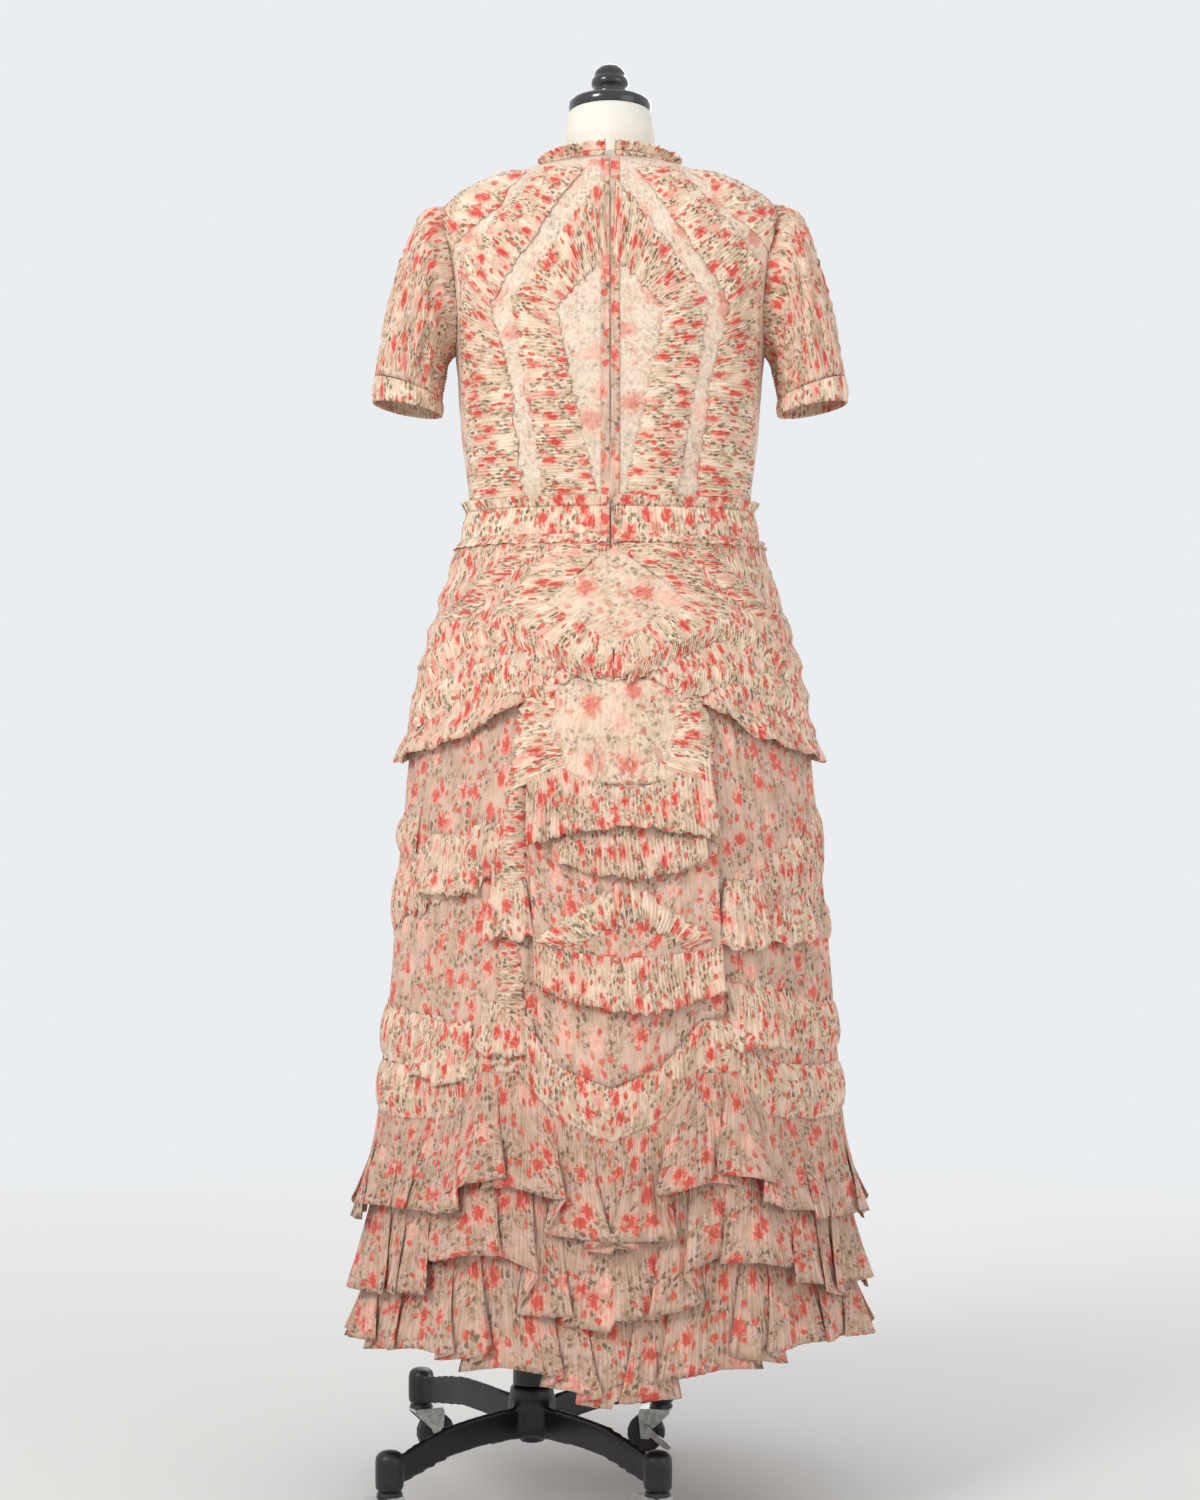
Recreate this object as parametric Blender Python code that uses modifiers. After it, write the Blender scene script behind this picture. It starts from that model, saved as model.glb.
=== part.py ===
"""A back-zip midi dress of ruched net, worn by a limbless dress form on a caster stand.

Tables and sizes are millimetres, and MM turns them into metres where a mesh is made.
+X is to the right seen from the dress's back, +Y is its front, +Z is up, z = 0 is the floor.
phi is the angle round the body from centre back, growing towards +X.
"""

import math

import bmesh
import bpy
import numpy as np
from mathutils import Matrix, Vector

MM = 0.001
NAME = "midi_dress_on_form"

# Cloth
WALL = 1.2  # thickness of one cloth wall
GAP = 0.4  # between pieces that meet
LAYER = WALL + GAP  # how far a layer's middle lies outside the one below
STEP = 6.0  # degrees between the skirt's columns
SIDE_SEAM = 0.06  # degrees from the skirt's side seam to a panel's edge
ZIP_HALF = 1.9  # half the slit at centre back
NECK_BACK, WAIST_BACK = 60.0, 97.0  # how far back of the middle it lies there
ZIP_END = 865.0
NECK_Z, WAIST_TOP, WAIST_LOW, SKIRT_HEM = 1328.0, 983.0, 950.0, 198.0
ARMHOLE = {"z": 1214.0, "y": 0.0, "half_height": 77.0, "half_depth": 47.0}

# Middle of the dress's ground cloth: the outline from the back, the side and the top
BODY_COLUMNS = ("z", "half_width", "half_depth", "forward", "squareness")
BODY = (
    (1328, 66, 60, 8, 2.0),
    (1321, 92, 63, 7, 2.1),
    (1311, 121, 67, 5, 2.2),
    (1298, 146, 71, 3, 2.4),
    (1283, 162, 77, 1, 2.5),
    (1260, 169, 84, 0, 2.5),
    (1225, 167, 93, 1, 2.5),
    (1180, 160, 103, 5, 2.4),
    (1130, 154, 111, 9, 2.3),
    (1080, 150, 109, 7, 2.3),
    (1030, 145, 102, 3, 2.2),
    (984, 141, 97, 0, 2.1),
    (950, 147, 104, 0, 2.1),
    (895, 164, 124, 0, 2.0),
    (845, 180, 141, 0, 2.0),
    (795, 192, 156, 0, 2.0),
    (740, 200, 168, 0, 2.0),
    (690, 205, 177, 0, 2.0),
    (600, 213, 190, 0, 2.0),
    (500, 221, 203, 0, 2.0),
    (400, 229, 215, 1, 2.0),
    (300, 235, 224, 2, 2.0),
    (198, 240, 231, 2, 2.0),
    (130, 243, 235, 2, 2.0),
)
# The form inside it, with the neck above and the hips below
TORSO = (
    (1384, 41, 41, 14, 2.0),
    (1360, 45, 44, 12, 2.0),
    (1336, 49, 47, 9, 2.0),
    (1326.9, 66, 57, 8, 2.0),
    (1319.9, 90.5, 59.5, 7, 2.1),
    (1309.9, 119, 63.5, 5, 2.2),
    (1296.9, 144, 67.5, 3, 2.4),
    (1281.9, 158.5, 73, 1, 2.5),
    (1258, 163, 80, 0, 2.5),
    (1225, 160, 88, 1, 2.5),
    (1180, 153, 98, 5, 2.4),
    (1130, 147, 104, 9, 2.3),
    (1080, 142, 101, 7, 2.3),
    (1030, 136, 94, 3, 2.2),
    (967, 131, 88, 0, 2.1),
    (895, 149, 103, 0, 2.1),
    (820, 161, 115, 0, 2.1),
    (762, 158, 112, 0, 2.1),
)
TORSO_WALL = 6.0
TORSO_SIDES = 20
TORSO_HEIGHTS = (
    1384, 1336, 1326.9, 1318.9, 1308.9, 1295.9, 1274.9, 1228, 1168, 1103, 1045, 967, 880, 762,
)

# Soft lengthwise folds of the skirt
FOLDS = 10
FOLD_TOP, FOLD_FULL = 860.0, 420.0
FOLD_DEPTH = 4.0

# Pointed tiers: the seam they hang from and each tier's lower edge, centre back to side
BAND_DEPTH = 46.0  # of the pointed band above the seam
HEM_COLUMNS = ("phi", "seam", "tier_1", "tier_2", "tier_3_hem")
HEMS = (
    (0, 385, 290, 222, 151),
    (12, 403, 297, 230, 158),
    (18, 422, 330, 256, 172),
    (24, 446, 352, 279, 184),
    (33, 446, 350, 277, 186),
    (41, 402, 312, 240, 184),
    (60, 392, 304, 232, 180),
    (90, 393, 284, 216, 168),
)
TIERS = ("tier_1", "tier_2", "tier_3_hem")
TIER_OVERLAP = 26.0
TIER_WAVES, TIER_FLARE, TIER_WAVE = 20, 15.5, 6.0

# Neckband and the small frills; a frill's columns go round in threes, in, out and between
NECK = {
    "height": 5.5, "top_scale": 0.98,
    "frill_height": 14.5, "frill_scale": 1.07, "frill_wave": 0.048,
}
FRILL_COUNT, FRILL_WALL = 37, 1.0
THIRDS = (0.0, 0.87, -0.87)

# Stand
POLE_X = -78.0
OUTER_TUBE = {"radius": 19.0, "bore": 16.6, "top": 610.0, "low": 112.6}
INNER_TUBE = {"radius": 16.0, "flange": 34.0, "collar": 24.0, "low": 330.0}
BOARD_LOW = 764.0
CASTER_COLUMNS = ("name", "x", "y", "heading_deg")
BRAKED = "front_right"
CASTERS = (
    ("rear_left", -207, -171, 215),
    ("rear_right", 44, -171, 130),
    ("front_left", -200, 170, 25),
    ("front_right", 55, 170, 170),
)
LEG_RADIUS = 12.6
SOCKET = {"radius": 13.6, "low": 51.0, "top": 89.0}
WHEEL = {"radius": 19.5, "width": 13.0, "sides": 16, "trail": 16.0}
STEM_RADIUS = 5.0


# Materials and collections


def material(name, colour, roughness, metallic=0.0):
    made = bpy.data.materials.new(name)
    made.use_nodes = True
    shader = made.node_tree.nodes["Principled BSDF"]
    shader.inputs["Base Color"].default_value = (*colour, 1.0)
    shader.inputs["Roughness"].default_value = roughness
    shader.inputs["Metallic"].default_value = metallic
    return made


def put(name, mesh, finish, smooth_deg=50):
    """A named object in the part's collection, shaded smooth below an angle."""
    thing = bpy.data.objects.new(name, mesh)
    mesh.materials.clear()
    mesh.materials.append(finish)
    mesh.shade_smooth()
    mesh.set_sharp_from_angle(angle=math.radians(smooth_deg))
    part_collection.objects.link(thing)
    return thing


def mesh_from(bm, name):
    bmesh.ops.recalc_face_normals(bm, faces=bm.faces)
    mesh = bpy.data.meshes.new(name)
    bm.to_mesh(mesh)
    bm.free()
    return mesh


# Surfaces


def read(table, z):
    """One smooth row of a table of rings at height z."""
    rows = np.array(table, float)[::-1]
    heights = rows[:, 0]
    z = min(max(z, heights[0]), heights[-1])
    slopes = np.gradient(rows[:, 1:], heights, axis=0)
    i = int(np.clip(np.searchsorted(heights, z) - 1, 0, len(heights) - 2))
    span = heights[i + 1] - heights[i]
    t = (z - heights[i]) / span
    start, end = rows[i, 1:], rows[i + 1, 1:]
    return (
        start * (2 * t**3 - 3 * t**2 + 1)
        + slopes[i] * span * (t**3 - 2 * t**2 + t)
        + end * (3 * t**2 - 2 * t**3)
        + slopes[i + 1] * span * (t**3 - t**2)
    )


def smooth_step(t):
    t = min(max(t, 0.0), 1.0)
    return t * t * (3 - 2 * t)


def ring_point(table, phi, z, folds=0.0):
    """A point of the ring at height z, phi degrees round from centre back."""
    half_width, half_depth, forward, square = read(table, z)
    s, c = math.sin(math.radians(phi)), math.cos(math.radians(phi))
    reach = (abs(s / half_width) ** square + abs(c / half_depth) ** square) ** (-1 / square)
    reach += folds
    return Vector((reach * s, forward - reach * c, z))


def fold_at(phi, z):
    """How far the skirt's soft folds push the cloth out."""
    depth = FOLD_DEPTH * smooth_step((FOLD_TOP - z) / (FOLD_TOP - FOLD_FULL))
    return depth * math.cos(math.radians(FOLDS * phi))


def on_dress(phi, z, out=0.0):
    """A point of the dress's ground cloth, moved out along its normal."""
    here = ring_point(BODY, phi, z, fold_at(phi, z))
    if not out:
        return here
    turn = 0.6
    drop = 1.5
    across = ring_point(BODY, phi + turn, z, fold_at(phi + turn, z)) - ring_point(
        BODY, phi - turn, z, fold_at(phi - turn, z)
    )
    upward = ring_point(BODY, phi, z + drop, fold_at(phi, z + drop)) - ring_point(
        BODY, phi, z - drop, fold_at(phi, z - drop)
    )
    return here + across.cross(upward).normalized() * out


def phi_of(x, z):
    """The angle round the back at which the dress is x to the side."""
    half_width, half_depth, forward, square = read(BODY, z)
    share = min(abs(x) / half_width, 0.999)
    depth = half_depth * (1 - share**square) ** (1 / square)
    return math.degrees(math.atan2(x, depth))


def steps(first, last, count):
    return [first + (last - first) * i / (count - 1) for i in range(count)]


def hem_at(phi, name):
    """Height of the tiers' seam or of one tier's lower edge; back and front are alike."""
    away = abs((phi + 180) % 360 - 180)
    columns = list(zip(*HEMS))
    return float(np.interp(min(away, 180 - away), columns[0], columns[HEM_COLUMNS.index(name)]))


def panel_edges(z):
    """Left and right edge of the centre back skirt panel."""
    down = (690 - z) / 270
    return -25 + 8 * down, 31 - 2 * down


# Building walls


def cloth(name, rows, finish, closed, thick=WALL):
    """A cloth wall: a grid of middle points, given its thickness by Solidify."""
    bm = bmesh.new()
    grid = [[bm.verts.new(point * MM) for point in row] for row in rows]
    columns = len(grid[0])
    for upper, lower in zip(grid, grid[1:]):
        for c in range(columns if closed else columns - 1):
            d = (c + 1) % columns
            bm.faces.new((upper[c], lower[c], lower[d], upper[d]))
    mesh = bpy.data.meshes.new(name)
    bm.to_mesh(mesh)
    bm.free()
    thing = put(name, mesh, finish)
    wall = thing.modifiers.new("wall", "SOLIDIFY")
    wall.thickness = thick * MM
    wall.offset = 0.0
    wall.use_even_offset = False
    return thing


def pad(name, outer, inner, finish, closed=False):
    """A ruched piece: an outer grid over an inner one, joined round its edges."""
    bm = bmesh.new()
    front = [[bm.verts.new(point * MM) for point in row] for row in outer]
    back = [[bm.verts.new(point * MM) for point in row] for row in inner]
    rows, columns = len(front), len(front[0])
    spans = range(columns if closed else columns - 1)
    for r in range(rows - 1):
        for c in spans:
            d = (c + 1) % columns
            bm.faces.new((front[r][c], front[r + 1][c], front[r + 1][d], front[r][d]))
            bm.faces.new((back[r][d], back[r + 1][d], back[r + 1][c], back[r][c]))
    for c in spans:
        d = (c + 1) % columns
        bm.faces.new((back[0][c], front[0][c], front[0][d], back[0][d]))
        bm.faces.new((front[-1][c], back[-1][c], back[-1][d], front[-1][d]))
    if not closed:
        for r in range(rows - 1):
            bm.faces.new((back[r][0], back[r + 1][0], front[r + 1][0], front[r][0]))
            bm.faces.new((front[r][-1], front[r + 1][-1], back[r + 1][-1], back[r][-1]))
    return put(name, mesh_from(bm, name), finish)


def strip(name, edges, stations, finish, base, gathers=0, crown=1.6, across=3, place=None):
    """A ruched strip on the dress, between two edges that have as many corners.

    stations says how many steps run between one corner and the next, base how far
    the strip's back lies out, and place turns a corner's first value into phi.
    """
    place = place or phi_of
    left, right = edges
    outer, inner = [], []
    count = sum(stations)
    done = 0
    for leg, legs_steps in enumerate(stations):
        last = leg == len(stations) - 1
        for i in range(legs_steps + (1 if last else 0)):
            t = i / legs_steps
            a = Vector(left[leg]).lerp(Vector(left[leg + 1]), t)
            b = Vector(right[leg]).lerp(Vector(right[leg + 1]), t)
            along = (done + i) / count
            puff = 0.5 + 0.5 * math.cos(2 * math.pi * gathers * along) if gathers else 1.0
            front, back = [], []
            for share in steps(0.0, 1.0, across):
                x, z = a.lerp(b, share)
                rise = WALL + crown * (0.45 + 0.55 * puff) * math.sin(math.pi * share)
                phi = place(x, z)
                front.append(on_dress(phi, z, base(phi, z) + rise))
                back.append(on_dress(phi, z, base(phi, z)))
            outer.append(front)
            inner.append(back)
        done += legs_steps
    return pad(name, outer, inner, finish)


def tube(name, points, radius, finish, sides=2):
    """A bent wire or arm as a curve with round section and closed ends."""
    curve = bpy.data.curves.new(name, "CURVE")
    curve.dimensions = "3D"
    curve.bevel_depth = radius * MM
    curve.bevel_resolution = sides
    curve.use_fill_caps = True
    line = curve.splines.new("POLY")
    line.points.add(len(points) - 1)
    for spot, point in zip(line.points, points):
        spot.co = (*(Vector(point) * MM), 1.0)
    rough = bpy.data.objects.new(name + "_curve", curve)
    part_collection.objects.link(rough)
    mesh = bpy.data.meshes.new_from_object(
        rough.evaluated_get(bpy.context.evaluated_depsgraph_get())
    )
    bpy.data.objects.remove(rough)
    bm = bmesh.new()
    bm.from_mesh(mesh)
    bmesh.ops.remove_doubles(bm, verts=bm.verts, dist=0.00001)
    bm.to_mesh(mesh)
    bm.free()
    return put(name, mesh, finish)


def turned(name, profile, finish, sides, place=(0, 0, 0)):
    """A solid of revolution: its profile runs down the outer side, top to bottom."""
    bm = bmesh.new()
    spots = [bm.verts.new((radius * MM, 0, height * MM)) for radius, height in profile]
    for one, two in zip(spots, spots[1:]):
        bm.edges.new((one, two))
    mesh = bpy.data.meshes.new(name)
    bm.to_mesh(mesh)
    bm.free()
    thing = put(name, mesh, finish, 35)
    thing.location = Vector(place) * MM
    screw = thing.modifiers.new("turn", "SCREW")
    screw.steps = sides
    screw.render_steps = sides
    screw.use_merge_vertices = True
    screw.merge_threshold = 0.00001
    return thing


def fixed_mesh(thing):
    """The object's evaluated mesh in world space, and the object taken away."""
    bpy.context.view_layer.update()
    mesh = bpy.data.meshes.new_from_object(
        thing.evaluated_get(bpy.context.evaluated_depsgraph_get())
    )
    mesh.transform(thing.matrix_world)
    bpy.data.objects.remove(thing)
    return mesh


def joined(name, things, finish):
    """One solid from several that overlap."""
    first = put(name, fixed_mesh(things[0]), finish, 35)
    for other in things[1:]:
        guide = bpy.data.objects.new(other.name + "_in", fixed_mesh(other))
        guide.hide_render = True
        guide.display_type = "WIRE"
        cutter_collection.objects.link(guide)
        union = first.modifiers.new("join", "BOOLEAN")
        union.operation = "UNION"
        union.object = guide
    return first


def cut(thing, cutter):
    hole = thing.modifiers.new("cut", "BOOLEAN")
    hole.operation = "DIFFERENCE"
    hole.object = cutter


def as_cutter(name, mesh):
    thing = bpy.data.objects.new(name, mesh)
    thing.hide_render = True
    thing.display_type = "WIRE"
    cutter_collection.objects.link(thing)
    return thing


# The dress


def armhole_cutter(side):
    bm = bmesh.new()
    place = Matrix.Translation(Vector((side * 190, ARMHOLE["y"], ARMHOLE["z"])) * MM)
    size = Matrix.Diagonal(
        Vector((1, ARMHOLE["half_depth"] * MM, ARMHOLE["half_height"] * MM, 1))
    )
    turn = Matrix.Rotation(math.radians(90), 4, "Y")
    bmesh.ops.create_cone(
        bm, cap_ends=True, segments=24, radius1=1, radius2=1, depth=0.18,
        matrix=place @ size @ turn,
    )
    return as_cutter("armhole_" + ("right" if side > 0 else "left"), mesh_from(bm, "armhole"))


def bodice():
    heights = (NECK_Z, 1320, 1310, 1297, 1276, 1230, 1170, 1105, 1052, 1014, WAIST_TOP + GAP)
    slit = [math.degrees(math.atan(ZIP_HALF / back)) for back in (NECK_BACK, WAIST_BACK)]
    seam_gap = 0.15
    cutters = {side: armhole_cutter(side) for side in (-1, 1)}
    for side, name in ((-1, "bodice_back_left"), (1, "bodice_back_right")):
        rows = []
        for z in heights:
            first = slit[0] if z > 1200 else slit[1]
            angles = [first, 9, 18, 27, 36, 45, 54, 63, 72, 81, 90 - seam_gap]
            angles = [side * a for a in angles]
            if side < 0:
                angles.reverse()
            rows.append([on_dress(a, z) for a in angles])
        cut(cloth(name, rows, finishes["net"], False), cutters[side])
    rows = [
        [on_dress(a, z) for a in [90 + seam_gap, *range(102, 270, 12), 270 - seam_gap]]
        for z in heights
    ]
    front = cloth("bodice_front", rows, finishes["net"], False)
    for cutter in cutters.values():
        cut(front, cutter)


# Ruched strips of the back bodice, right side: corners (x, z) of each edge
BACK_STRIPS = (
    (
        "inner_band",
        ((8, 1255), (56, 1172), (31, 1085), (12, 995)),
        ((26, 1285), (93, 1188), (69, 1088), (52, 995)),
        (5, 5, 6),
        1.3,
    ),
    (
        "outer_band",
        ((42, 1315), (117, 1184), (96, 1092), (78, 995)),
        ((66, 1318), (145, 1218), (129, 1092), (117, 995)),
        (6, 5, 6),
        2.0,
    ),
)


def back_strips():
    for name, near, far, stations, lift in BACK_STRIPS:
        for side, label in ((-1, "left"), (1, "right")):
            edges = [[(side * x, z) for x, z in edge] for edge in (near, far)]
            if side < 0:
                edges.reverse()
            strip(
                f"{name}_{label}", edges, stations, finishes["ruched"],
                lambda phi, z, lift=lift: WALL / 2 + lift, gathers=6,
            )


def sleeve_rings():
    """Rings of a right sleeve: outer and inner end of the ring in the XZ plane, and depth."""
    return (
        # outer x, outer z, inner x, inner z, half depth
        (186, 1281, 163, 1132, 57),
        (204, 1240, 166, 1119, 63),
        (221, 1182, 168, 1106, 62),
        (234, 1118, 169, 1095, 57),
    )


CUFF_RING = (236, 1091, 169, 1079, 56)
SLEEVE_SIDES, SLEEVE_FOLDS, SLEEVE_FOLD = 24, 6, 2.2


def sleeve_ring(ring, side, fold):
    outer_x, outer_z, inner_x, inner_z, depth = ring
    middle = Vector(((outer_x + inner_x) / 2, 0, (outer_z + inner_z) / 2))
    reach = Vector(((outer_x - inner_x) / 2, 0, (outer_z - inner_z) / 2))
    points = []
    for i in range(SLEEVE_SIDES):
        turn = 2 * math.pi * i / SLEEVE_SIDES
        push = 1 + fold / 45 * math.cos(SLEEVE_FOLDS * turn)
        point = middle + reach * math.cos(turn) * push
        point += Vector((0, depth * math.sin(turn) * push, 0))
        point.x *= side
        points.append(point)
    return points


def armhole_ring(side, inset):
    """The sleeve's edge in the armhole, on the bodice's own surface."""
    points = []
    for i in range(SLEEVE_SIDES):
        turn = 2 * math.pi * i / SLEEVE_SIDES
        z = ARMHOLE["z"] + (ARMHOLE["half_height"] - inset) * math.cos(turn)
        y = ARMHOLE["y"] + (ARMHOLE["half_depth"] - inset) * math.sin(turn)
        half_width, half_depth, forward, square = read(BODY, z)
        share = min(abs(y - forward) / half_depth, 0.999)
        points.append(Vector((side * half_width * (1 - share**square) ** (1 / square), y, z)))
    return points


def sleeves():
    for side, label in ((-1, "left"), (1, "right")):
        rings = sleeve_rings()
        rows = [armhole_ring(side, WALL + 1.2)]
        rows += [sleeve_ring(ring, side, SLEEVE_FOLD) for ring in rings]
        last = Vector(rings[-1])
        cuff_end = Vector(CUFF_RING)
        span = abs(last[1] - cuff_end[1])
        top = last.lerp(cuff_end, 3.4 * GAP / span)
        cuff_rows = [sleeve_ring(ring, side, SLEEVE_FOLD) for ring in (top, cuff_end)]
        if side < 0:
            rows = [row[::-1] for row in rows]
            cuff_rows = [row[::-1] for row in cuff_rows]
        cloth(f"sleeve_{label}", rows, finishes["ruched"], True)
        cloth(f"cuff_{label}", cuff_rows, finishes["ruched"], True, 2.0)


def neck_row(angles, scale, height, wave=0.0):
    """A ring of the neck finish: the neck edge scaled about the neck's own middle."""
    neck_y = read(BODY, NECK_Z)[2]
    row = []
    for i, a in enumerate(angles):
        p = on_dress(a, NECK_Z)
        push = scale + wave * THIRDS[i % 3]
        row.append(Vector((p.x * push, neck_y + (p.y - neck_y) * push, NECK_Z + height)))
    return row


def neckband():
    slit = math.degrees(math.atan((ZIP_HALF + 2.5) / NECK_BACK))
    angles = steps(slit, 360 - slit, 25)
    rows = [neck_row(angles, NECK["top_scale"], NECK["height"])]
    rows.append(neck_row(angles, 1.0, GAP + WALL / 2))
    cloth("neckband", rows, finishes["ruched"], False, 1.6)
    angles = steps(slit, 360 - slit, FRILL_COUNT)
    rows = [neck_row(angles, NECK["frill_scale"], NECK["frill_height"], NECK["frill_wave"])]
    rows.append(neck_row(angles, NECK["top_scale"], NECK["height"] + 0.7))
    cloth("neck_frill", rows, finishes["net"], False, FRILL_WALL)


def waist_angles(spare=0.0):
    """The waistband's columns, open at the zip."""
    slit = math.degrees(math.atan((ZIP_HALF + spare) / WAIST_BACK))
    return [slit, *range(9, 352, 9), 360 - slit]


def waistband():
    angles = waist_angles()
    outer, inner = [], []
    for share in steps(0, 1, 3):
        z = WAIST_TOP - GAP - (WAIST_TOP - WAIST_LOW - 2 * GAP) * share
        crown = 2.4 * math.sin(math.pi * share)
        outer.append([on_dress(a, z, WALL / 2 + crown) for a in angles])
        inner.append([on_dress(a, z, -WALL / 2) for a in angles])
    pad("waistband", outer, inner, finishes["ruched"])


def waist_frill(name, z, lift):
    """A small standing frill that leaves the body at one seam of the waistband."""
    rows = []
    for share in (0.0, 1.0):
        row = []
        for i, a in enumerate(waist_angles(1.5)):
            out = 2.0 + share * (8.0 + 1.6 * THIRDS[i % 3])
            row.append(on_dress(a, z + lift * share, out))
        rows.append(row)
    if lift > 0:
        rows.reverse()
    cloth(name, rows, finishes["net"], False, FRILL_WALL)


def zip_strip():
    outer, inner = [], []
    for z in (1326, 1318, 1306, 1290, 1265, 1230, 1175, 1115, 1050, 984, 950, 910, ZIP_END + 1):
        ring = [on_dress(0, z, out) for out in (0.5, -0.9)]
        for rows, point in zip((outer, inner), ring):
            rows.append([point + Vector((x, 0, 0)) for x in (-1.3, 1.3)])
    pad("zip", outer, inner, finishes["zip"])


def hook_and_loop():
    """A hook on one end of the neckband and a thread loop on the other."""
    z = NECK_Z + 4.2
    back = on_dress(0, NECK_Z).y * 0.99 + 0.2
    hook = [(-4.6, 0, 0), (-1.0, -1.6, 0), (1.6, -1.8, 0), (2.0, -3.4, 0), (-0.6, -3.8, 0)]
    loop = [(5.6, -1, 3.0), (4.4, -2.2, 3.4), (3.4, -2.6, 0), (4.4, -2.2, -3.4), (5.6, -1, -3.0)]
    for name, points in (("neck_hook", hook), ("neck_loop", loop)):
        tube(name, [(x, back - 1.4 + y, z + dz) for x, y, dz in points], 0.5, finishes["zip"], 1)


def skirt():
    """Back and front of the skirt's ground cloth, sewn at the sides."""
    heights = (WAIST_LOW - GAP, 870, 770, 620, 420, SKIRT_HEM)
    sides = (("skirt_back", -90), ("skirt_front", 90))
    for name, first in sides:
        inner = [first + STEP * i for i in range(1, 30)]
        angles = [first + SIDE_SEAM, *inner, first + 180 - SIDE_SEAM]
        rows = [[on_dress(a, z) for a in angles] for z in heights]
        wall = cloth(name, rows, finishes["net"], False)
        if name == "skirt_back":
            cut(wall, slit_cutter())


def slit_cutter():
    bm = bmesh.new()
    height = 1000 - ZIP_END
    place = Matrix.Translation(Vector((0, -130, ZIP_END + height / 2)) * MM)
    size = Matrix.Diagonal(Vector((2 * ZIP_HALF, 120, height, 1))) * MM
    size[3][3] = 1
    bmesh.ops.create_cube(bm, size=1, matrix=place @ size)
    return as_cutter("zip_slit", mesh_from(bm, "zip_slit"))


# Lower edge of the hip basque, from centre back to the side
HIP_COLUMNS = ("phi", "z")
HIP_EDGE = ((0, 810), (12, 811), (24, 800), (48, 755), (78, 733), (90, 732))


def hip_low(phi):
    away = abs((phi + 180) % 360 - 180)
    away = min(away, 180 - away)
    return float(np.interp(away, *zip(*HIP_EDGE)))


def flare_rows(angles, top, bottom, base, flare, wave, waves, shares):
    """Rows of a gathered flounce: flat at its seam, waving out at its free edge."""
    rows = []
    for share in shares:
        row = []
        for a in angles:
            z = top(a) + (bottom(a) - top(a)) * share
            ripple = math.cos(math.radians(waves * a))
            out = base + flare * share**1.6 + wave * share**1.3 * ripple
            row.append(on_dress(a, z, out))
        rows.append(row)
    return rows


def hip_basque():
    angles = [STEP * i for i in range(60)]
    base = LAYER + 0.5
    rows = [[on_dress(a, z, base) for a in angles] for z in (WAIST_LOW - GAP, 900)]
    rows.append([on_dress(a, (900 + hip_low(a) + 34) / 2, base + 1.0) for a in angles])
    rows += flare_rows(
        angles, lambda a: hip_low(a) + 34, hip_low, base + 1.0, 9.0, 4.0, 20, (0.0, 1.0)
    )
    basque = cloth("hip_basque", rows, finishes["ruched"], True)
    cut(basque, slit_cutter())


def across_panel(count, z):
    left, right = panel_edges(z)
    return steps(left, right, count)


PANEL_OUT = LAYER + 0.9  # the centre back panel's middle over the skirt's
PANEL_EDGE_LIFT = 5.0  # its right edge stands off the skirt, the left one half as much


def panel_out(phi, z):
    """How far the centre back panel's middle lies outside the skirt's."""
    left, right = panel_edges(z)
    share = (phi - left) / (right - left)
    lift = max(0.0, (share - 0.86) / 0.14) + 0.5 * max(0.0, (0.14 - share) / 0.14)
    fade = smooth_step((z - 470) / 50) * smooth_step((735 - z) / 50)
    return PANEL_OUT + PANEL_EDGE_LIFT * lift * fade


def back_panel():
    count = 10
    rows = []
    for z in (795, 730, 650, 575):
        rows.append([on_dress(a, z, panel_out(a, z)) for a in across_panel(count, z)])
    for share in (0.5, 1.0):
        row = []
        for a in across_panel(count, 480):
            z = 575 + (seam_at(a) + BAND_DEPTH + 3 - 575) * share
            row.append(on_dress(a, z, panel_out(a, z)))
        rows.append(row)
    cloth("back_panel", rows, finishes["net"], False)


# Ruched bands that end in a frill on the centre back panel
FRILL_COLUMNS = ("name", "band_top", "band_low", "low_middle", "low_ends")
PANEL_FRILLS = (
    ("ruffle_a", 708, 672, 628, 664),
    ("ruffle_b", 552, 528, 500, 522),
)


def panel_frills():
    count = 13
    for name, band_top, band_low, low_middle, low_ends in PANEL_FRILLS:
        rows = []
        for share in (0.0, 0.35, 1.0):
            row = []
            for i in range(count):
                f = i / (count - 1)
                end = abs(2 * f - 1.08) ** 1.6
                low = low_middle + (low_ends - low_middle) * end
                top = band_top + 6 * end
                z = top + (low - top) * share
                left, right = panel_edges(z)
                wave = THIRDS[i % 3]
                phi = left + (right - left) * f
                out = panel_out(phi, z) + LAYER + 0.3 + 8.0 * share**1.6 + 2.6 * share * wave
                row.append(on_dress(phi, z, out))
            rows.append(row)
        cloth(name, rows, finishes["ruched"], False)


# Slanting and level ruched strips of the skirt: corners (phi, z) of the upper and lower edge
STRIP_COLUMNS = ("name", "upper", "lower", "steps", "on_panel")
SKIRT_STRIPS = (
    ("lattice_left", ((-21, 566), (3, 620)), ((-14, 560), (4, 586)), 4, True),
    ("lattice_right", ((5, 620), (28, 568)), ((6, 588), (22, 560)), 4, True),
    ("slant_left", ((-84, 622), (-30, 684)), ((-84, 566), (-30, 630)), 9, False),
    ("slant_right", ((36, 616), (84, 690)), ((36, 556), (84, 628)), 8, False),
)


def skirt_strips():
    for name, upper, lower, count, on_panel in SKIRT_STRIPS:
        def base(phi, z, on_panel=on_panel):
            below = panel_out(phi, z) if on_panel else 0.0
            return below + WALL / 2 + 0.7

        strip(name, (upper, lower), (count,), finishes["ruched"], base, gathers=3,
              place=lambda phi, z: phi)


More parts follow.
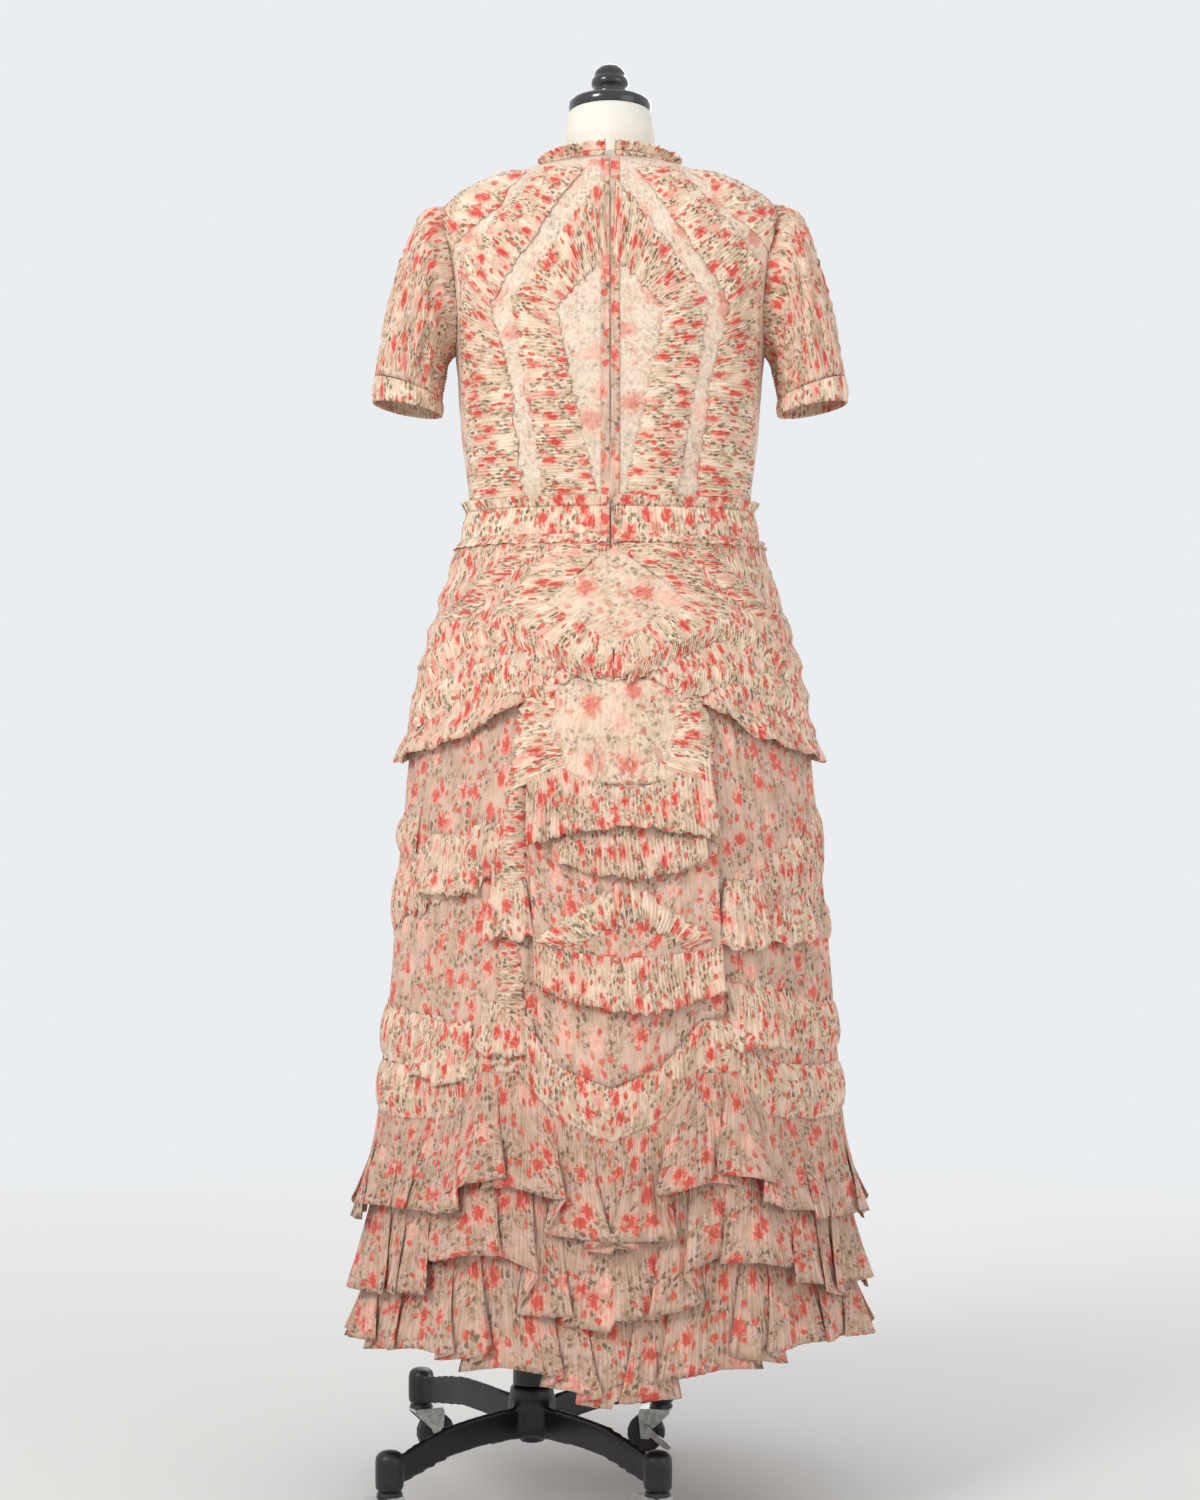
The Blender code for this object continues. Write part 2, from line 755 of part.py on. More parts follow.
def seam_at(phi):
    return hem_at(phi, "seam")


def pointed_band():
    angles = [STEP * i for i in range(60)]
    outer, inner = [], []
    for share in (0.0, 0.5, 1.0):
        crown = 2.2 * math.sin(math.pi * share)
        base = WALL / 2 + GAP + 0.2
        heights = {a: seam_at(a) + BAND_DEPTH * (1 - share) + 1.5 for a in angles}
        outer.append([on_dress(a, heights[a], base + WALL + crown) for a in angles])
        inner.append([on_dress(a, heights[a], base) for a in angles])
    pad("pointed_band", outer, inner, finishes["ruched"], True)


def tiers():
    angles = [STEP * i for i in range(60)]
    above, over = "seam", -1.0
    for name in TIERS:
        rows = flare_rows(
            angles, lambda a: hem_at(a, above) + over, lambda a: hem_at(a, name),
            LAYER, TIER_FLARE, TIER_WAVE, TIER_WAVES, (0.0, 0.5, 1.0),
        )
        cloth(name, rows, finishes["net"], True)
        above, over = name, TIER_OVERLAP


# The form


def torso():
    rows = [
        [ring_point(TORSO, 360 * i / TORSO_SIDES, z) for i in range(TORSO_SIDES)]
        for z in TORSO_HEIGHTS
    ]
    shell = cloth("torso", rows, finishes["canvas"], True, TORSO_WALL)
    shell.modifiers["wall"].offset = -1.0


def form_fittings():
    bm = bmesh.new()
    rims = []
    low, above = TORSO_HEIGHTS[-1], TORSO_HEIGHTS[-2]
    for z in (BOARD_LOW + 15, BOARD_LOW):
        rim = []
        for i in range(TORSO_SIDES):
            phi = 360 * i / TORSO_SIDES
            share = (z - low) / (above - low)
            p = ring_point(TORSO, phi, low).lerp(ring_point(TORSO, phi, above), share)
            half_width, half_depth = read(TORSO, low)[:2]
            outwards = Vector((p.x / half_width**2, p.y / half_depth**2, 0)).normalized()
            rim.append(bm.verts.new((p - outwards * (TORSO_WALL + 0.9)) * MM))
        rims.append(rim)
    bm.faces.new(rims[0])
    bm.faces.new(rims[1])
    for i in range(TORSO_SIDES):
        j = (i + 1) % TORSO_SIDES
        bm.faces.new((rims[0][i], rims[1][i], rims[1][j], rims[0][j]))
    put("base_board", mesh_from(bm, "base_board"), finishes["wood"], 35)
    neck_y = 14
    turned(
        "neck_cap",
        ((0, 1396.6), (38, 1396.6), (41.5, 1394), (41.5, 1387.5), (40, 1384.4), (0, 1384.4)),
        finishes["black"], 20, (0, neck_y, 0),
    )
    turned(
        "finial",
        (
            (0, 1438), (6, 1437.5), (11, 1434), (12.5, 1430), (18.5, 1424), (19, 1418),
            (15, 1413), (18.5, 1409), (18.5, 1404), (14, 1400), (16, 1397), (0, 1397),
        ),
        finishes["black"], 16, (0, neck_y, 0),
    )


# The stand


def poles():
    """The telescoping pole: the inner tube's collar rests on the outer tube's rim."""
    inner, outer = INNER_TUBE, OUTER_TUBE
    flange, collar = inner["flange"], inner["collar"]
    top = BOARD_LOW - 0.3
    turned(
        "pole_inner",
        (
            (0, top), (flange, top), (flange, top - 5), (inner["radius"], top - 6),
            (inner["radius"], outer["top"] + 24), (collar, outer["top"] + 22),
            (collar, outer["top"] + 0.3), (inner["radius"], outer["top"] + 0.3),
            (inner["radius"], inner["low"]), (0, inner["low"]),
        ),
        finishes["black"], 16, (POLE_X, 0, 0),
    )
    turned(
        "pole_outer",
        (
            (outer["bore"], outer["top"]), (outer["radius"], outer["top"]),
            (outer["radius"], outer["low"]), (outer["bore"], outer["low"]),
            (outer["bore"], outer["top"]),
        ),
        finishes["black"], 20, (POLE_X, 0, 0),
    )


def leg_points(x, y):
    """One arched leg from the hub to its socket."""
    foot = Vector((x - POLE_X, y, 0))
    reach = foot.length
    line = foot.normalized()
    arch = ((0.0, 76), (0.2, 78), (0.42, 81), (0.6, 80), (0.78, 74), (0.92, 68), (1.0, 67))
    return [
        (POLE_X + line.x * reach * share, line.y * reach * share, height)
        for share, height in arch
    ]


def base_casting():
    things = [
        turned(
            "base_casting",
            ((0, 112.2), (21, 112.2), (22, 104), (26, 92), (26, 66), (15, 60), (13, 54), (0, 54)),
            finishes["iron"], 14, (POLE_X, 0, 0),
        )
    ]
    for name, x, y, heading in CASTERS:
        things.append(tube("leg_" + name, leg_points(x, y), LEG_RADIUS, finishes["iron"], 2))
        things.append(
            turned(
                "socket_" + name,
                (
                    (0, SOCKET["top"]), (9, SOCKET["top"] - 1), (SOCKET["radius"], 81),
                    (SOCKET["radius"], SOCKET["low"]), (STEM_RADIUS + 0.3, SOCKET["low"]),
                    (STEM_RADIUS + 0.3, 76), (0, 76),
                ),
                finishes["iron"], 12, (x, y, 0),
            )
        )
    hub, rest = things[0], things[1:]
    legs = [t for t in rest if t.name.startswith("leg_")]
    sockets = [t for t in rest if t.name.startswith("socket_")]
    casting = joined("base_casting", [hub, *legs], finishes["iron"])
    bores = []
    for (name, x, y, heading), socket in zip(CASTERS, sockets):
        guide = as_cutter("socket_in_" + name, fixed_mesh(socket))
        plug = bmesh.new()
        bmesh.ops.create_cone(
            plug, cap_ends=True, segments=12, radius1=(SOCKET["radius"] - 1) * MM,
            radius2=(SOCKET["radius"] - 1) * MM, depth=34 * MM,
            matrix=Matrix.Translation(Vector((x, y, 64)) * MM),
        )
        clear = as_cutter("clear_" + name, mesh_from(plug, "clear_" + name))
        bores.append((clear, guide))
    for clear, guide in bores:
        cut(casting, clear)
        union = casting.modifiers.new("join", "BOOLEAN")
        union.operation = "UNION"
        union.object = guide


def rod(bm, radius, length, place, sides=16):
    """A round rod along its own Z."""
    bmesh.ops.create_cone(
        bm, cap_ends=True, segments=sides, radius1=radius * MM, radius2=radius * MM,
        depth=length * MM, matrix=place,
    )


def shifted(x, y, z):
    return Matrix.Translation(Vector((x, y, z)) * MM)


SIDEWAYS = Matrix.Rotation(math.radians(90), 4, "X")
# Side view of a fork's plates: along the trail and up
FORK_OUTLINE = (
    (-10, 46.4), (21, 46.4), (23, 41), (20.5, 14.5), (11.5, 14.5), (8, 25), (-7, 39), (-10, 42),
)
FORK_ROOF = 42.9
BEARING_CAP = {"radius": 12.5, "low": 46.8, "top": 50.6}
# Side view of the brake lever, and its pivot
LEVER_OUTLINE = ((19, 26), (17, 30), (12, 29), (-9, 12), (-13, 8), (-10, 5), (-4, 7))
LEVER_PIVOT = (16.0, 27.0)


def plate(bm, outline, low, high):
    """A flat plate: an outline along the trail and up, between two sideways places."""
    sides = [
        [bm.verts.new(Vector((u, place, v)) * MM) for u, v in outline] for place in (high, low)
    ]
    bm.faces.new(sides[0])
    bm.faces.new(sides[1])
    for i in range(len(outline)):
        j = (i + 1) % len(outline)
        bm.faces.new((sides[0][j], sides[0][i], sides[1][i], sides[1][j]))


def caster(name, x, y, heading):
    """A swivelling fork with its stem and pin, its bearing cap, and its wheel."""
    radius, width, trail = WHEEL["radius"], WHEEL["width"], WHEEL["trail"]
    place = shifted(x, y, 0) @ Matrix.Rotation(math.radians(heading), 4, "Z")
    room_half = width / 2 + 1.6
    fork_half = room_half + 2.0
    bm = bmesh.new()
    plate(bm, FORK_OUTLINE, -fork_half, fork_half)
    fork = put("fork_" + name, mesh_from(bm, "fork"), finishes["zinc"], 35)
    room = bmesh.new()
    room_outline = ((-40, -20), (60, -20), (60, FORK_ROOF), (-40, FORK_ROOF))
    plate(room, room_outline, -room_half, room_half)
    stem, pin = bmesh.new(), bmesh.new()
    rod(stem, STEM_RADIUS, 29.4, shifted(0, 0, 60.7), 12)
    rod(pin, 2.5, 2 * (fork_half + 1.2), shifted(trail, 0, radius) @ SIDEWAYS, 8)
    fork.matrix_world = place
    for work, label, way in (
        (room, "room", "DIFFERENCE"), (stem, "stem", "UNION"), (pin, "pin", "UNION"),
    ):
        guide = as_cutter(f"{label}_{name}", mesh_from(work, label))
        guide.matrix_world = place
        step = fork.modifiers.new(label, "BOOLEAN")
        step.operation = way
        step.object = guide
    edge = rim_radius()
    wheel = turned(
        "wheel_" + name,
        (
            (2.8, width / 2 - 0.8), (15.5, width / 2), (edge, width / 2 - 2),
            (edge, 2 - width / 2), (15.5, -width / 2), (2.8, 0.8 - width / 2),
            (2.8, width / 2 - 0.8),
        ),
        finishes["rubber"], WHEEL["sides"],
    )
    facet = Matrix.Rotation(math.pi / WHEEL["sides"], 4, "Z")
    wheel.matrix_world = place @ shifted(trail, 0, radius) @ SIDEWAYS @ facet
    cap, bore = BEARING_CAP, STEM_RADIUS + 0.3
    turned(
        "bearing_cap_" + name,
        (
            (bore, cap["top"]), (cap["radius"] - 1, cap["top"]), (cap["radius"], cap["low"]),
            (bore, cap["low"]), (bore, cap["top"]),
        ),
        finishes["black"], 12, (x, y, 0),
    )
    if name == BRAKED:
        lever = bmesh.new()
        plate(lever, LEVER_OUTLINE, fork_half + 1.6, fork_half + 5.0)
        brake = put("brake_lever", mesh_from(lever, "brake_lever"), finishes["zinc"], 35)
        brake.matrix_world = place


def rim_radius():
    """The wheel's corner radius, so that its lowest facet lies on the floor."""
    return WHEEL["radius"] / math.cos(math.pi / WHEEL["sides"])


# All of it

for thing in list(bpy.data.objects):
    bpy.data.objects.remove(thing)
part_collection = bpy.data.collections.new(NAME)
cutter_collection = bpy.data.collections.new("cutters")
for collection in (part_collection, cutter_collection):
    bpy.context.scene.collection.children.link(collection)
finishes = {
    "net": material("net", (0.82, 0.66, 0.55), 0.85),
    "ruched": material("ruched", (0.85, 0.58, 0.48), 0.85),
    "zip": material("zip", (0.88, 0.78, 0.66), 0.6),
    "canvas": material("canvas", (0.8, 0.76, 0.68), 0.9),
    "black": material("black", (0.02, 0.02, 0.02), 0.3),
    "iron": material("iron", (0.025, 0.025, 0.025), 0.5),
    "wood": material("wood", (0.5, 0.36, 0.22), 0.6),
    "zinc": material("zinc", (0.6, 0.6, 0.6), 0.35, 1.0),
    "rubber": material("rubber", (0.03, 0.03, 0.03), 0.6),
}

bodice()
back_strips()
sleeves()
neckband()
waistband()
waist_frill("waist_frill_top", WAIST_TOP - 3, 11.0)
waist_frill("waist_frill_low", WAIST_LOW + 3, -11.0)
zip_strip()
hook_and_loop()
skirt()
hip_basque()
back_panel()
panel_frills()
skirt_strips()
pointed_band()
tiers()
torso()
form_fittings()
poles()
base_casting()
for row in CASTERS:
    caster(*row)
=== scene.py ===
# %% [markdown]
# A midi dress of printed net, seen from behind on the limbless form that wears it.
# The net is gathered into narrow ruched bands, puffed sleeves and pointed flounces.
# Each piece of cloth is a thin shell that follows the solid the CAD part has for it.

# %% Load the packed part
import math

import bpy
import numpy as np
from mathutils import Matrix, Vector


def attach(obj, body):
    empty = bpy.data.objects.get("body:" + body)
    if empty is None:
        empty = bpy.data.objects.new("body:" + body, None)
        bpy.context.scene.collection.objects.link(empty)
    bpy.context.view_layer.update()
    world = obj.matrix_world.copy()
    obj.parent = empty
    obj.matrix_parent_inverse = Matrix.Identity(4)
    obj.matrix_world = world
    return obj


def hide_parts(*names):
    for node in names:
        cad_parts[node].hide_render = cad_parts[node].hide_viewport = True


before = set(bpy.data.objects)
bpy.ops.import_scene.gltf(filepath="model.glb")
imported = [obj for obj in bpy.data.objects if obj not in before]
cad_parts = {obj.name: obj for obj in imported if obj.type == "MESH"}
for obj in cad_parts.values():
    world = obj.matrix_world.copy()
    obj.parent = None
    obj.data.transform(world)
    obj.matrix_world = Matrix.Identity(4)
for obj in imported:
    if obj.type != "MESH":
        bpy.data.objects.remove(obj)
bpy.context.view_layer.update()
MM = 0.001
print("CAD nodes:", len(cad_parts))

# %% [markdown]
# The camera stands where the photographer stood: level, at about hip height and 2.7 m away,
# straight behind the dress. A 65 mm lens on a 36 mm sensor gives the same crop.

# %% Camera
EYE_HEIGHT, EYE_AWAY, EYE_ASIDE = 0.745, 2.70, -0.010
SENSOR, FOCAL = 36.0, 64.8


def stand_camera():
    lens = bpy.data.cameras.new("camera")
    lens.sensor_width = SENSOR
    lens.lens = FOCAL
    camera = bpy.data.objects.new("camera", lens)
    bpy.context.scene.collection.objects.link(camera)
    camera.location = (EYE_ASIDE, -EYE_AWAY, EYE_HEIGHT)
    camera.rotation_euler = (math.radians(90), 0, 0)
    bpy.context.scene.camera = camera
    return camera


print("camera at", tuple(stand_camera().location))

# %% [markdown]
# Shader maths reads best as plain expressions. This small class wraps one socket of a
# shader, so that adding or multiplying two of them makes the Math nodes.

# %% A socket that Python can calculate with
class Wire:
    """A shader socket that takes part in sums."""

    def __init__(self, tree, socket=None):
        self.tree, self.socket = tree, socket

    def node(self, kind, settings, inputs, output=0):
        """Any node: its settings are set first, then the values or links of its sockets."""
        made = self.tree.nodes.new("ShaderNode" + kind)
        for key, value in settings.items():
            if key == "stops":
                ramp = made.color_ramp.elements
                while len(ramp) < len(value):
                    ramp.new(0.5)
                for stop, (place, colour) in zip(ramp, value):
                    stop.position, stop.color = place, (*colour, 1.0)
            else:
                setattr(made, key, value)
        for key, value in inputs.items():
            if isinstance(value, Wire):
                self.tree.links.new(value.socket, made.inputs[key])
            else:
                made.inputs[key].default_value = value
        return Wire(self.tree, made.outputs[output])

    def maths(self, operation, a, b=0.0, clamp=False):
        return self.node("Math", {"operation": operation, "use_clamp": clamp}, {0: a, 1: b})

    def __add__(self, other):
        return self.maths("ADD", self, other)

    def __sub__(self, other):
        return self.maths("SUBTRACT", self, other)

    def __rsub__(self, other):
        return self.maths("SUBTRACT", other, self)

    def __mul__(self, other):
        return self.maths("MULTIPLY", self, other)

    __radd__ = __add__
    __rmul__ = __mul__

    def sine(self):
        return self.maths("SINE", self)

    def part(self, index):
        """The x, y or z value of a vector, by index 0, 1 or 2."""
        return self.node("SeparateXYZ", {}, {"Vector": self}, index)

    def under(self, edge, soft):
        """1 where this value is below edge, 0 above it, with a soft step between."""
        return self.maths("MULTIPLY", (edge - self) + soft / 2, 1 / soft, clamp=True)

    def mix(self, one, two):
        """Colour one where this value is 0, and colour two where it is 1."""
        settings = {"data_type": "RGBA"}
        return self.node("Mix", settings, {"Factor": self, 6: one, 7: two}, 2)


def finish_of(name, roughness, metallic=0.0, alpha=1.0, sheen=0.0, coat=0.0):
    """A new material, its Principled node, and a Wire to build on."""
    made = bpy.data.materials.new(name)
    made.use_nodes = True
    shader = made.node_tree.nodes["Principled BSDF"]
    shader.inputs["Roughness"].default_value = roughness
    shader.inputs["Metallic"].default_value = metallic
    shader.inputs["Alpha"].default_value = alpha
    shader.inputs["Sheen Weight"].default_value = sheen
    shader.inputs["Coat Weight"].default_value = coat
    return made, shader, Wire(made.node_tree)


def feed(shader, wire, name):
    wire.tree.links.new(wire.socket, shader.inputs[name])


def relief(shader, height, strength, distance):
    """Fine relief that only bends the light. distance is its full height in metres."""
    inputs = {"Strength": strength, "Distance": distance, "Height": height}
    feed(shader, height.node("Bump", {}, inputs), "Normal")


def flat_spot(wire):
    """The place on a cloth's flat cut, in metres."""
    return wire.node("UVMap", {"uv_map": "cut"}, {})


def solid_spot(wire):
    """The place in a piece's own axes, in metres."""
    return wire.node("TexCoord", {}, {}, 3)


def noise(wire, spot, scale, detail=2.0, solid=False):
    """A smooth random value near 0.5, flat or in all three directions."""
    inputs = {"Vector": spot, "Scale": scale, "Detail": detail}
    return wire.node("TexNoise", {"noise_dimensions": "3D" if solid else "2D"}, inputs)


print("Wire works on", [m for m in vars(Wire) if m.startswith("__r")])

# %% [markdown]
# The print is a common one: scattered roses, buds, leaves and thin twigs on peach net.
# It is drawn from Voronoi cells on the cloth's own flat cut, which each piece carries as
# its UV map in metres. Where a band is gathered, more cloth goes into each centimetre, so
# the same print closes up into the streaks that the real ruching shows.

# %% The printed net
CREAM, NUDE, SHADE = (0.90, 0.72, 0.55, 1), (0.66, 0.46, 0.36, 1), (0.83, 0.63, 0.485, 1)
CORAL, ROSE, PINK = (0.66, 0.085, 0.055, 1), (0.76, 0.20, 0.135, 1), (0.84, 0.38, 0.28, 1)
# The second colour on the next line is painted shade, laid into the creases of the net's folds and
# pleats.
BLUSH, CREASE_SHADE = (0.87, 0.54, 0.42, 1), (0.62, 0.44, 0.36, 1)
OLIVE, BROWN, TAN = (0.125, 0.08, 0.033, 1), (0.095, 0.05, 0.024, 1), (0.45, 0.275, 0.13, 1)
PRINT_DRIFT = 0.006
ROSES, BUDS, LEAVES = 29.0, 76.0, 135.0
CRINKLE_DEPTH = 0.0014


def cloth_spot(wire):
    """The place on the flat cut, and the same moved a little so that no motif is a circle."""
    flat = flat_spot(wire)
    drift = wire.node("TexNoise", {"noise_dimensions": "2D"}, {"Vector": flat, "Scale": 120.0}, 1)
    shift = wire.node(
        "VectorMath", {"operation": "MULTIPLY_ADD"},
        {0: drift, 1: (PRINT_DRIFT, PRINT_DRIFT, 0), 2: flat},
    )
    return flat, shift


def cells(wire, spot, scale):
    """Distance to the nearest of scattered points, and a random value for each cell."""
    near = wire.node("TexVoronoi", {"voronoi_dimensions": "2D"}, {"Vector": spot, "Scale": scale})
    colour = Wire(wire.tree, near.socket.node.outputs["Color"])
    return near, wire.node("SeparateColor", {}, {"Color": colour})


def line(value, middle, half, soft):
    """1 along the contour where a noise has the middle value."""
    return value.maths("ABSOLUTE", value - middle).under(half, soft)


def rose_print(wire, ground, strength, size=1.0, dense=0.0, bloom=0.395, kept=1.0):
    """The print's colour on a ground colour. strength fades all motifs towards the ground.

    bloom is how far a rose reaches from its middle, kept the share of the roses printed.
    """
    flat, spot = cloth_spot(wire)
    petals, patches = noise(wire, spot, 230.0 / size, 3.0), noise(wire, flat, 52.0 / size, 2.0)
    bunches = noise(wire, flat, 36.0 / size, 2.0)
    where = bunches.under(0.52 + 0.3 * dense, 0.14)
    wash = patches.under(0.46 + 0.5 * dense, 0.16) * (0.36 * strength)
    colour = wash.mix(ground, TAN)
    rose, kind = cells(wire, spot, ROSES / size)
    near_rose = (rose + petals * 0.3).under(bloom + 0.14, 0.22)
    colour = (near_rose * (0.4 * strength)).mix(colour, BLUSH)
    leaf, leaf_kind = cells(wire, spot, LEAVES / size)
    leaves = (leaf + petals * 0.5).under(0.50 + dense, 0.16) * where
    green = leaf_kind.under(0.45, 0.3).mix(OLIVE, TAN)
    colour = (leaves * (0.84 * strength)).mix(colour, green)
    twigs, veins = noise(wire, spot, 90.0 / size, 2.0), noise(wire, spot, 210.0 / size, 2.0)
    sprigs = line(twigs, 0.5, 0.020, 0.022) * bunches.under(0.62, 0.12)
    sprigs = sprigs.maths("MAXIMUM", line(veins, 0.5, 0.020, 0.035) * where * 0.9)
    colour = (sprigs * (0.8 * strength)).mix(colour, BROWN)
    flower = petals.under(0.50, 0.16).mix(PINK, ROSE)
    flower = (rose + petals * 0.4).under(bloom - 0.04, 0.1).mix(flower, CORAL)
    flower = kind.under(0.26, 0.1).mix(flower, petals.under(0.48, 0.2).mix(BLUSH, PINK))
    edge = noise(wire, spot, 130.0 / size, 2.0)
    disc = (rose + edge * 0.34).under(bloom, 0.09) * kind.under(kept, 0.02)
    colour = (disc * strength).mix(colour, flower)
    bud, bud_kind = cells(wire, spot, BUDS / size)
    buds = (bud + petals * 0.4).under(0.43 + dense * 0.4, 0.1) * bud_kind.under(0.42, 0.02)
    return flat, (buds * (strength * kept)).mix(colour, petals.under(0.5, 0.2).mix(ROSE, CORAL))


def net_finish(name, ground, strength, crinkle, alpha, stretch=(1.0, 1.0), size=1.0, dense=0.0,
               pleat=0.0, bloom=0.395, kept=1.0):
    """Printed net. crinkle is how deep the finest folds are, which the mesh leaves out.

    pleat is the width in mm of cloth of the fine pressed pleats, or 0 for none.
    """
    made, shader, wire = finish_of(name, 0.85, alpha=alpha, sheen=0.15)
    flat, colour = rose_print(wire, ground, strength, size, dense, bloom, kept)
    squeezed = wire.node(
        "VectorMath", {"operation": "MULTIPLY"}, {0: flat, 1: (*stretch, 1.0)}
    )
    folds = noise(wire, squeezed, 300.0, 2.0)
    # Painted shade: the hollows of the fine folds and the troughs of the pressed pleats are darkened
    # in the colour.
    shade = folds.under(0.46, 0.2) * 0.3
    if pleat:
        wave = (flat.part(0) * (6283.0 / pleat) + noise(wire, flat, 14.0, 1.0) * 9.0).sine()
        folds = folds + wave * 0.3
        shade = shade + wave.under(-0.55, 0.7) * 0.26
    settings = {"data_type": "RGBA", "blend_type": "MULTIPLY"}
    dark = wire.node("Mix", settings, {"Factor": shade, 6: colour, 7: CREASE_SHADE}, 2)
    feed(shader, dark, "Base Color")
    relief(shader, folds, crinkle, CRINKLE_DEPTH)
    return made


finishes = {
    "ruched": net_finish("ruched_net", CREAM, 1.0, 0.7, 1.0, (1.0, 0.12), 1.1, 0.06),
    "ruffle": net_finish("ruffle_net", SHADE, 1.0, 0.7, 0.97, (1.0, 0.12), 1.0, 0.05),
    "sheer": net_finish("sheer_net", (0.80, 0.67, 0.53, 1), 0.5, 0.2, 0.97, (1.0, 0.6), 1.1,
                        -0.05, bloom=0.46, kept=0.55),
    "hip": net_finish("hip_net", (0.80, 0.62, 0.47, 1), 0.7, 0.5, 0.97, (1.0, 0.4), 1.1,
                      0.0, bloom=0.44, kept=0.7),
    "skirt": net_finish("skirt_net", NUDE, 0.92, 0.4, 0.97, (1.0, 0.15), 1.1, 0.03, bloom=0.40),
    "flounce": net_finish("flounce_net", NUDE, 0.95, 0.5, 0.88, (1.0, 0.08), 1.0, 0.04, 5.0,
                          bloom=0.41),
}
print("net finishes:", sorted(finishes))

# %% [markdown]
# The dress's outline is a stack of rings, each wider than deep. These are the part's own
# driving sizes, in millimetres, and a smooth curve runs from ring to ring.
# phi is the angle round the body from centre back, growing towards +X. The columns are
# height, half width, half depth, how far forward, and how square the ring is.

# %% The dress's own form
SIDES, SAMPLES = ((-1, "left"), (1, "right")), 4
BODY = (
    (1328, 66, 60, 8, 2.0), (1321, 92, 63, 7, 2.1), (1311, 121, 67, 5, 2.2),
    (1298, 146, 71, 3, 2.4), (1283, 162, 77, 1, 2.5), (1260, 169, 84, 0, 2.5),
    (1225, 167, 93, 1, 2.5), (1180, 160, 103, 5, 2.4), (1130, 154, 111, 9, 2.3),
    (1080, 150, 109, 7, 2.3), (1030, 145, 102, 3, 2.2), (984, 141, 97, 0, 2.1),
    (950, 147, 104, 0, 2.1), (895, 164, 124, 0, 2.0), (845, 180, 141, 0, 2.0),
    (795, 192, 156, 0, 2.0), (740, 200, 168, 0, 2.0), (690, 205, 177, 0, 2.0),
    (600, 213, 190, 0, 2.0), (500, 221, 203, 0, 2.0), (400, 229, 215, 1, 2.0),
    (300, 235, 224, 2, 2.0), (198, 240, 231, 2, 2.0), (130, 243, 235, 2, 2.0),
)
NECK_Z, WAIST_TOP, WAIST_LOW, SKIRT_HEM, ZIP_END = 1328.0, 983.0, 950.0, 198.0, 865.0
ARMHOLE = {"z": 1214.0, "half_height": 77.0, "half_depth": 47.0}
ZIP_HALF, NECK_RADIUS, WAIST_RADIUS = 1.9, 60, 97
FOLDS, FOLD_TOP, FOLD_FULL, FOLD_DEPTH = 10, 860.0, 420.0, 4.0


def smooth(t):
    t = np.clip(t, 0.0, 1.0)
    return t * t * (3 - 2 * t)


def spread(start, end, count):
    return np.linspace(start, end, count)


def across(count, start=0.0, end=1.0):
    """A row of even steps, one for each column of a grid."""
    return spread(start, end, count)[None, :]


def down(count, start=0.0, end=1.0):
    """A column of even steps, one for each row of a grid."""
    return spread(start, end, count)[:, None]


def from_back(phi):
    """Degrees from centre back, from 0 to 180 on both sides."""
    return np.abs((phi + 180) % 360 - 180)


def from_centre(phi):
    """Degrees from centre back or centre front, whichever is nearer."""
    away = from_back(phi)
    return np.minimum(away, 180 - away)


def bulge(share):
    """0 at both ends of a share from 0 to 1, and 1 in its middle."""
    return np.sin(np.pi * share)


def shape_at(table, z):
    """half_width, half_depth, forward and squareness at each height z."""
    rows = np.array(table, float)[::-1]
    heights, values = rows[:, 0], rows[:, 1:]
    slopes = np.gradient(values, heights, axis=0)
    z = np.clip(z, heights[0], heights[-1])
    i = np.clip(np.searchsorted(heights, z) - 1, 0, len(heights) - 2)
    span = (heights[i + 1] - heights[i])[..., None]
    t = (z - heights[i])[..., None] / span
    bend = values[i] * (2 * t**3 - 3 * t**2 + 1) + values[i + 1] * (3 * t**2 - 2 * t**3)
    bend += slopes[i] * span * (t**3 - 2 * t**2 + t) + slopes[i + 1] * span * (t**3 - t**2)
    return np.moveaxis(bend, -1, 0)


def ring(table, phi, z, push=0.0):
    width, depth, forward, square = shape_at(table, z)
    s, c = np.sin(np.radians(phi)), np.cos(np.radians(phi))
    reach = (np.abs(s / width) ** square + np.abs(c / depth) ** square) ** (-1 / square)
    reach = reach + push
    return np.stack([reach * s, forward - reach * c, z + 0 * reach], -1)


def long_fold(phi, z):
    """The skirt's soft lengthwise folds."""
    depth = FOLD_DEPTH * smooth((FOLD_TOP - z) / (FOLD_TOP - FOLD_FULL))
    return depth * np.cos(np.radians(FOLDS * phi))


def dress(phi, z, out=0.0):
    """Points of the dress's ground cloth in mm, moved out along its normal."""
    phi, z, out = np.broadcast_arrays(
        np.asarray(phi, float), np.asarray(z, float), np.asarray(out, float)
    )

    def spot(a, b):
        return ring(BODY, a, b, long_fold(a, b))

    sideways = spot(phi + 0.6, z) - spot(phi - 0.6, z)
    upward = spot(phi, z + 1.5) - spot(phi, z - 1.5)
    normal = np.cross(sideways, upward)
    normal /= np.linalg.norm(normal, axis=-1, keepdims=True)
    return spot(phi, z) + normal * out[..., None]


def phi_of(x, z):
    """The angle at which the back of the dress is x mm to the side."""
    width, depth, _, square = shape_at(BODY, np.asarray(z, float))
    share = np.minimum(np.abs(x) / width, 0.999)
    return np.degrees(np.arctan2(x, depth * (1 - share**square) ** (1 / square)))


def armhole_phi(z):
    """How far round the back bodice reaches: the side seam, or the armhole's edge."""
    width, depth, _, square = shape_at(BODY, np.asarray(z, float))
    reach = 1 - ((z - ARMHOLE["z"]) / ARMHOLE["half_height"]) ** 2
    notch = ARMHOLE["half_depth"] * np.sqrt(np.maximum(reach, 0.0))
    share = np.minimum(notch / depth, 0.999)
    return np.degrees(np.arctan2(width * (1 - share**square) ** (1 / square), notch))


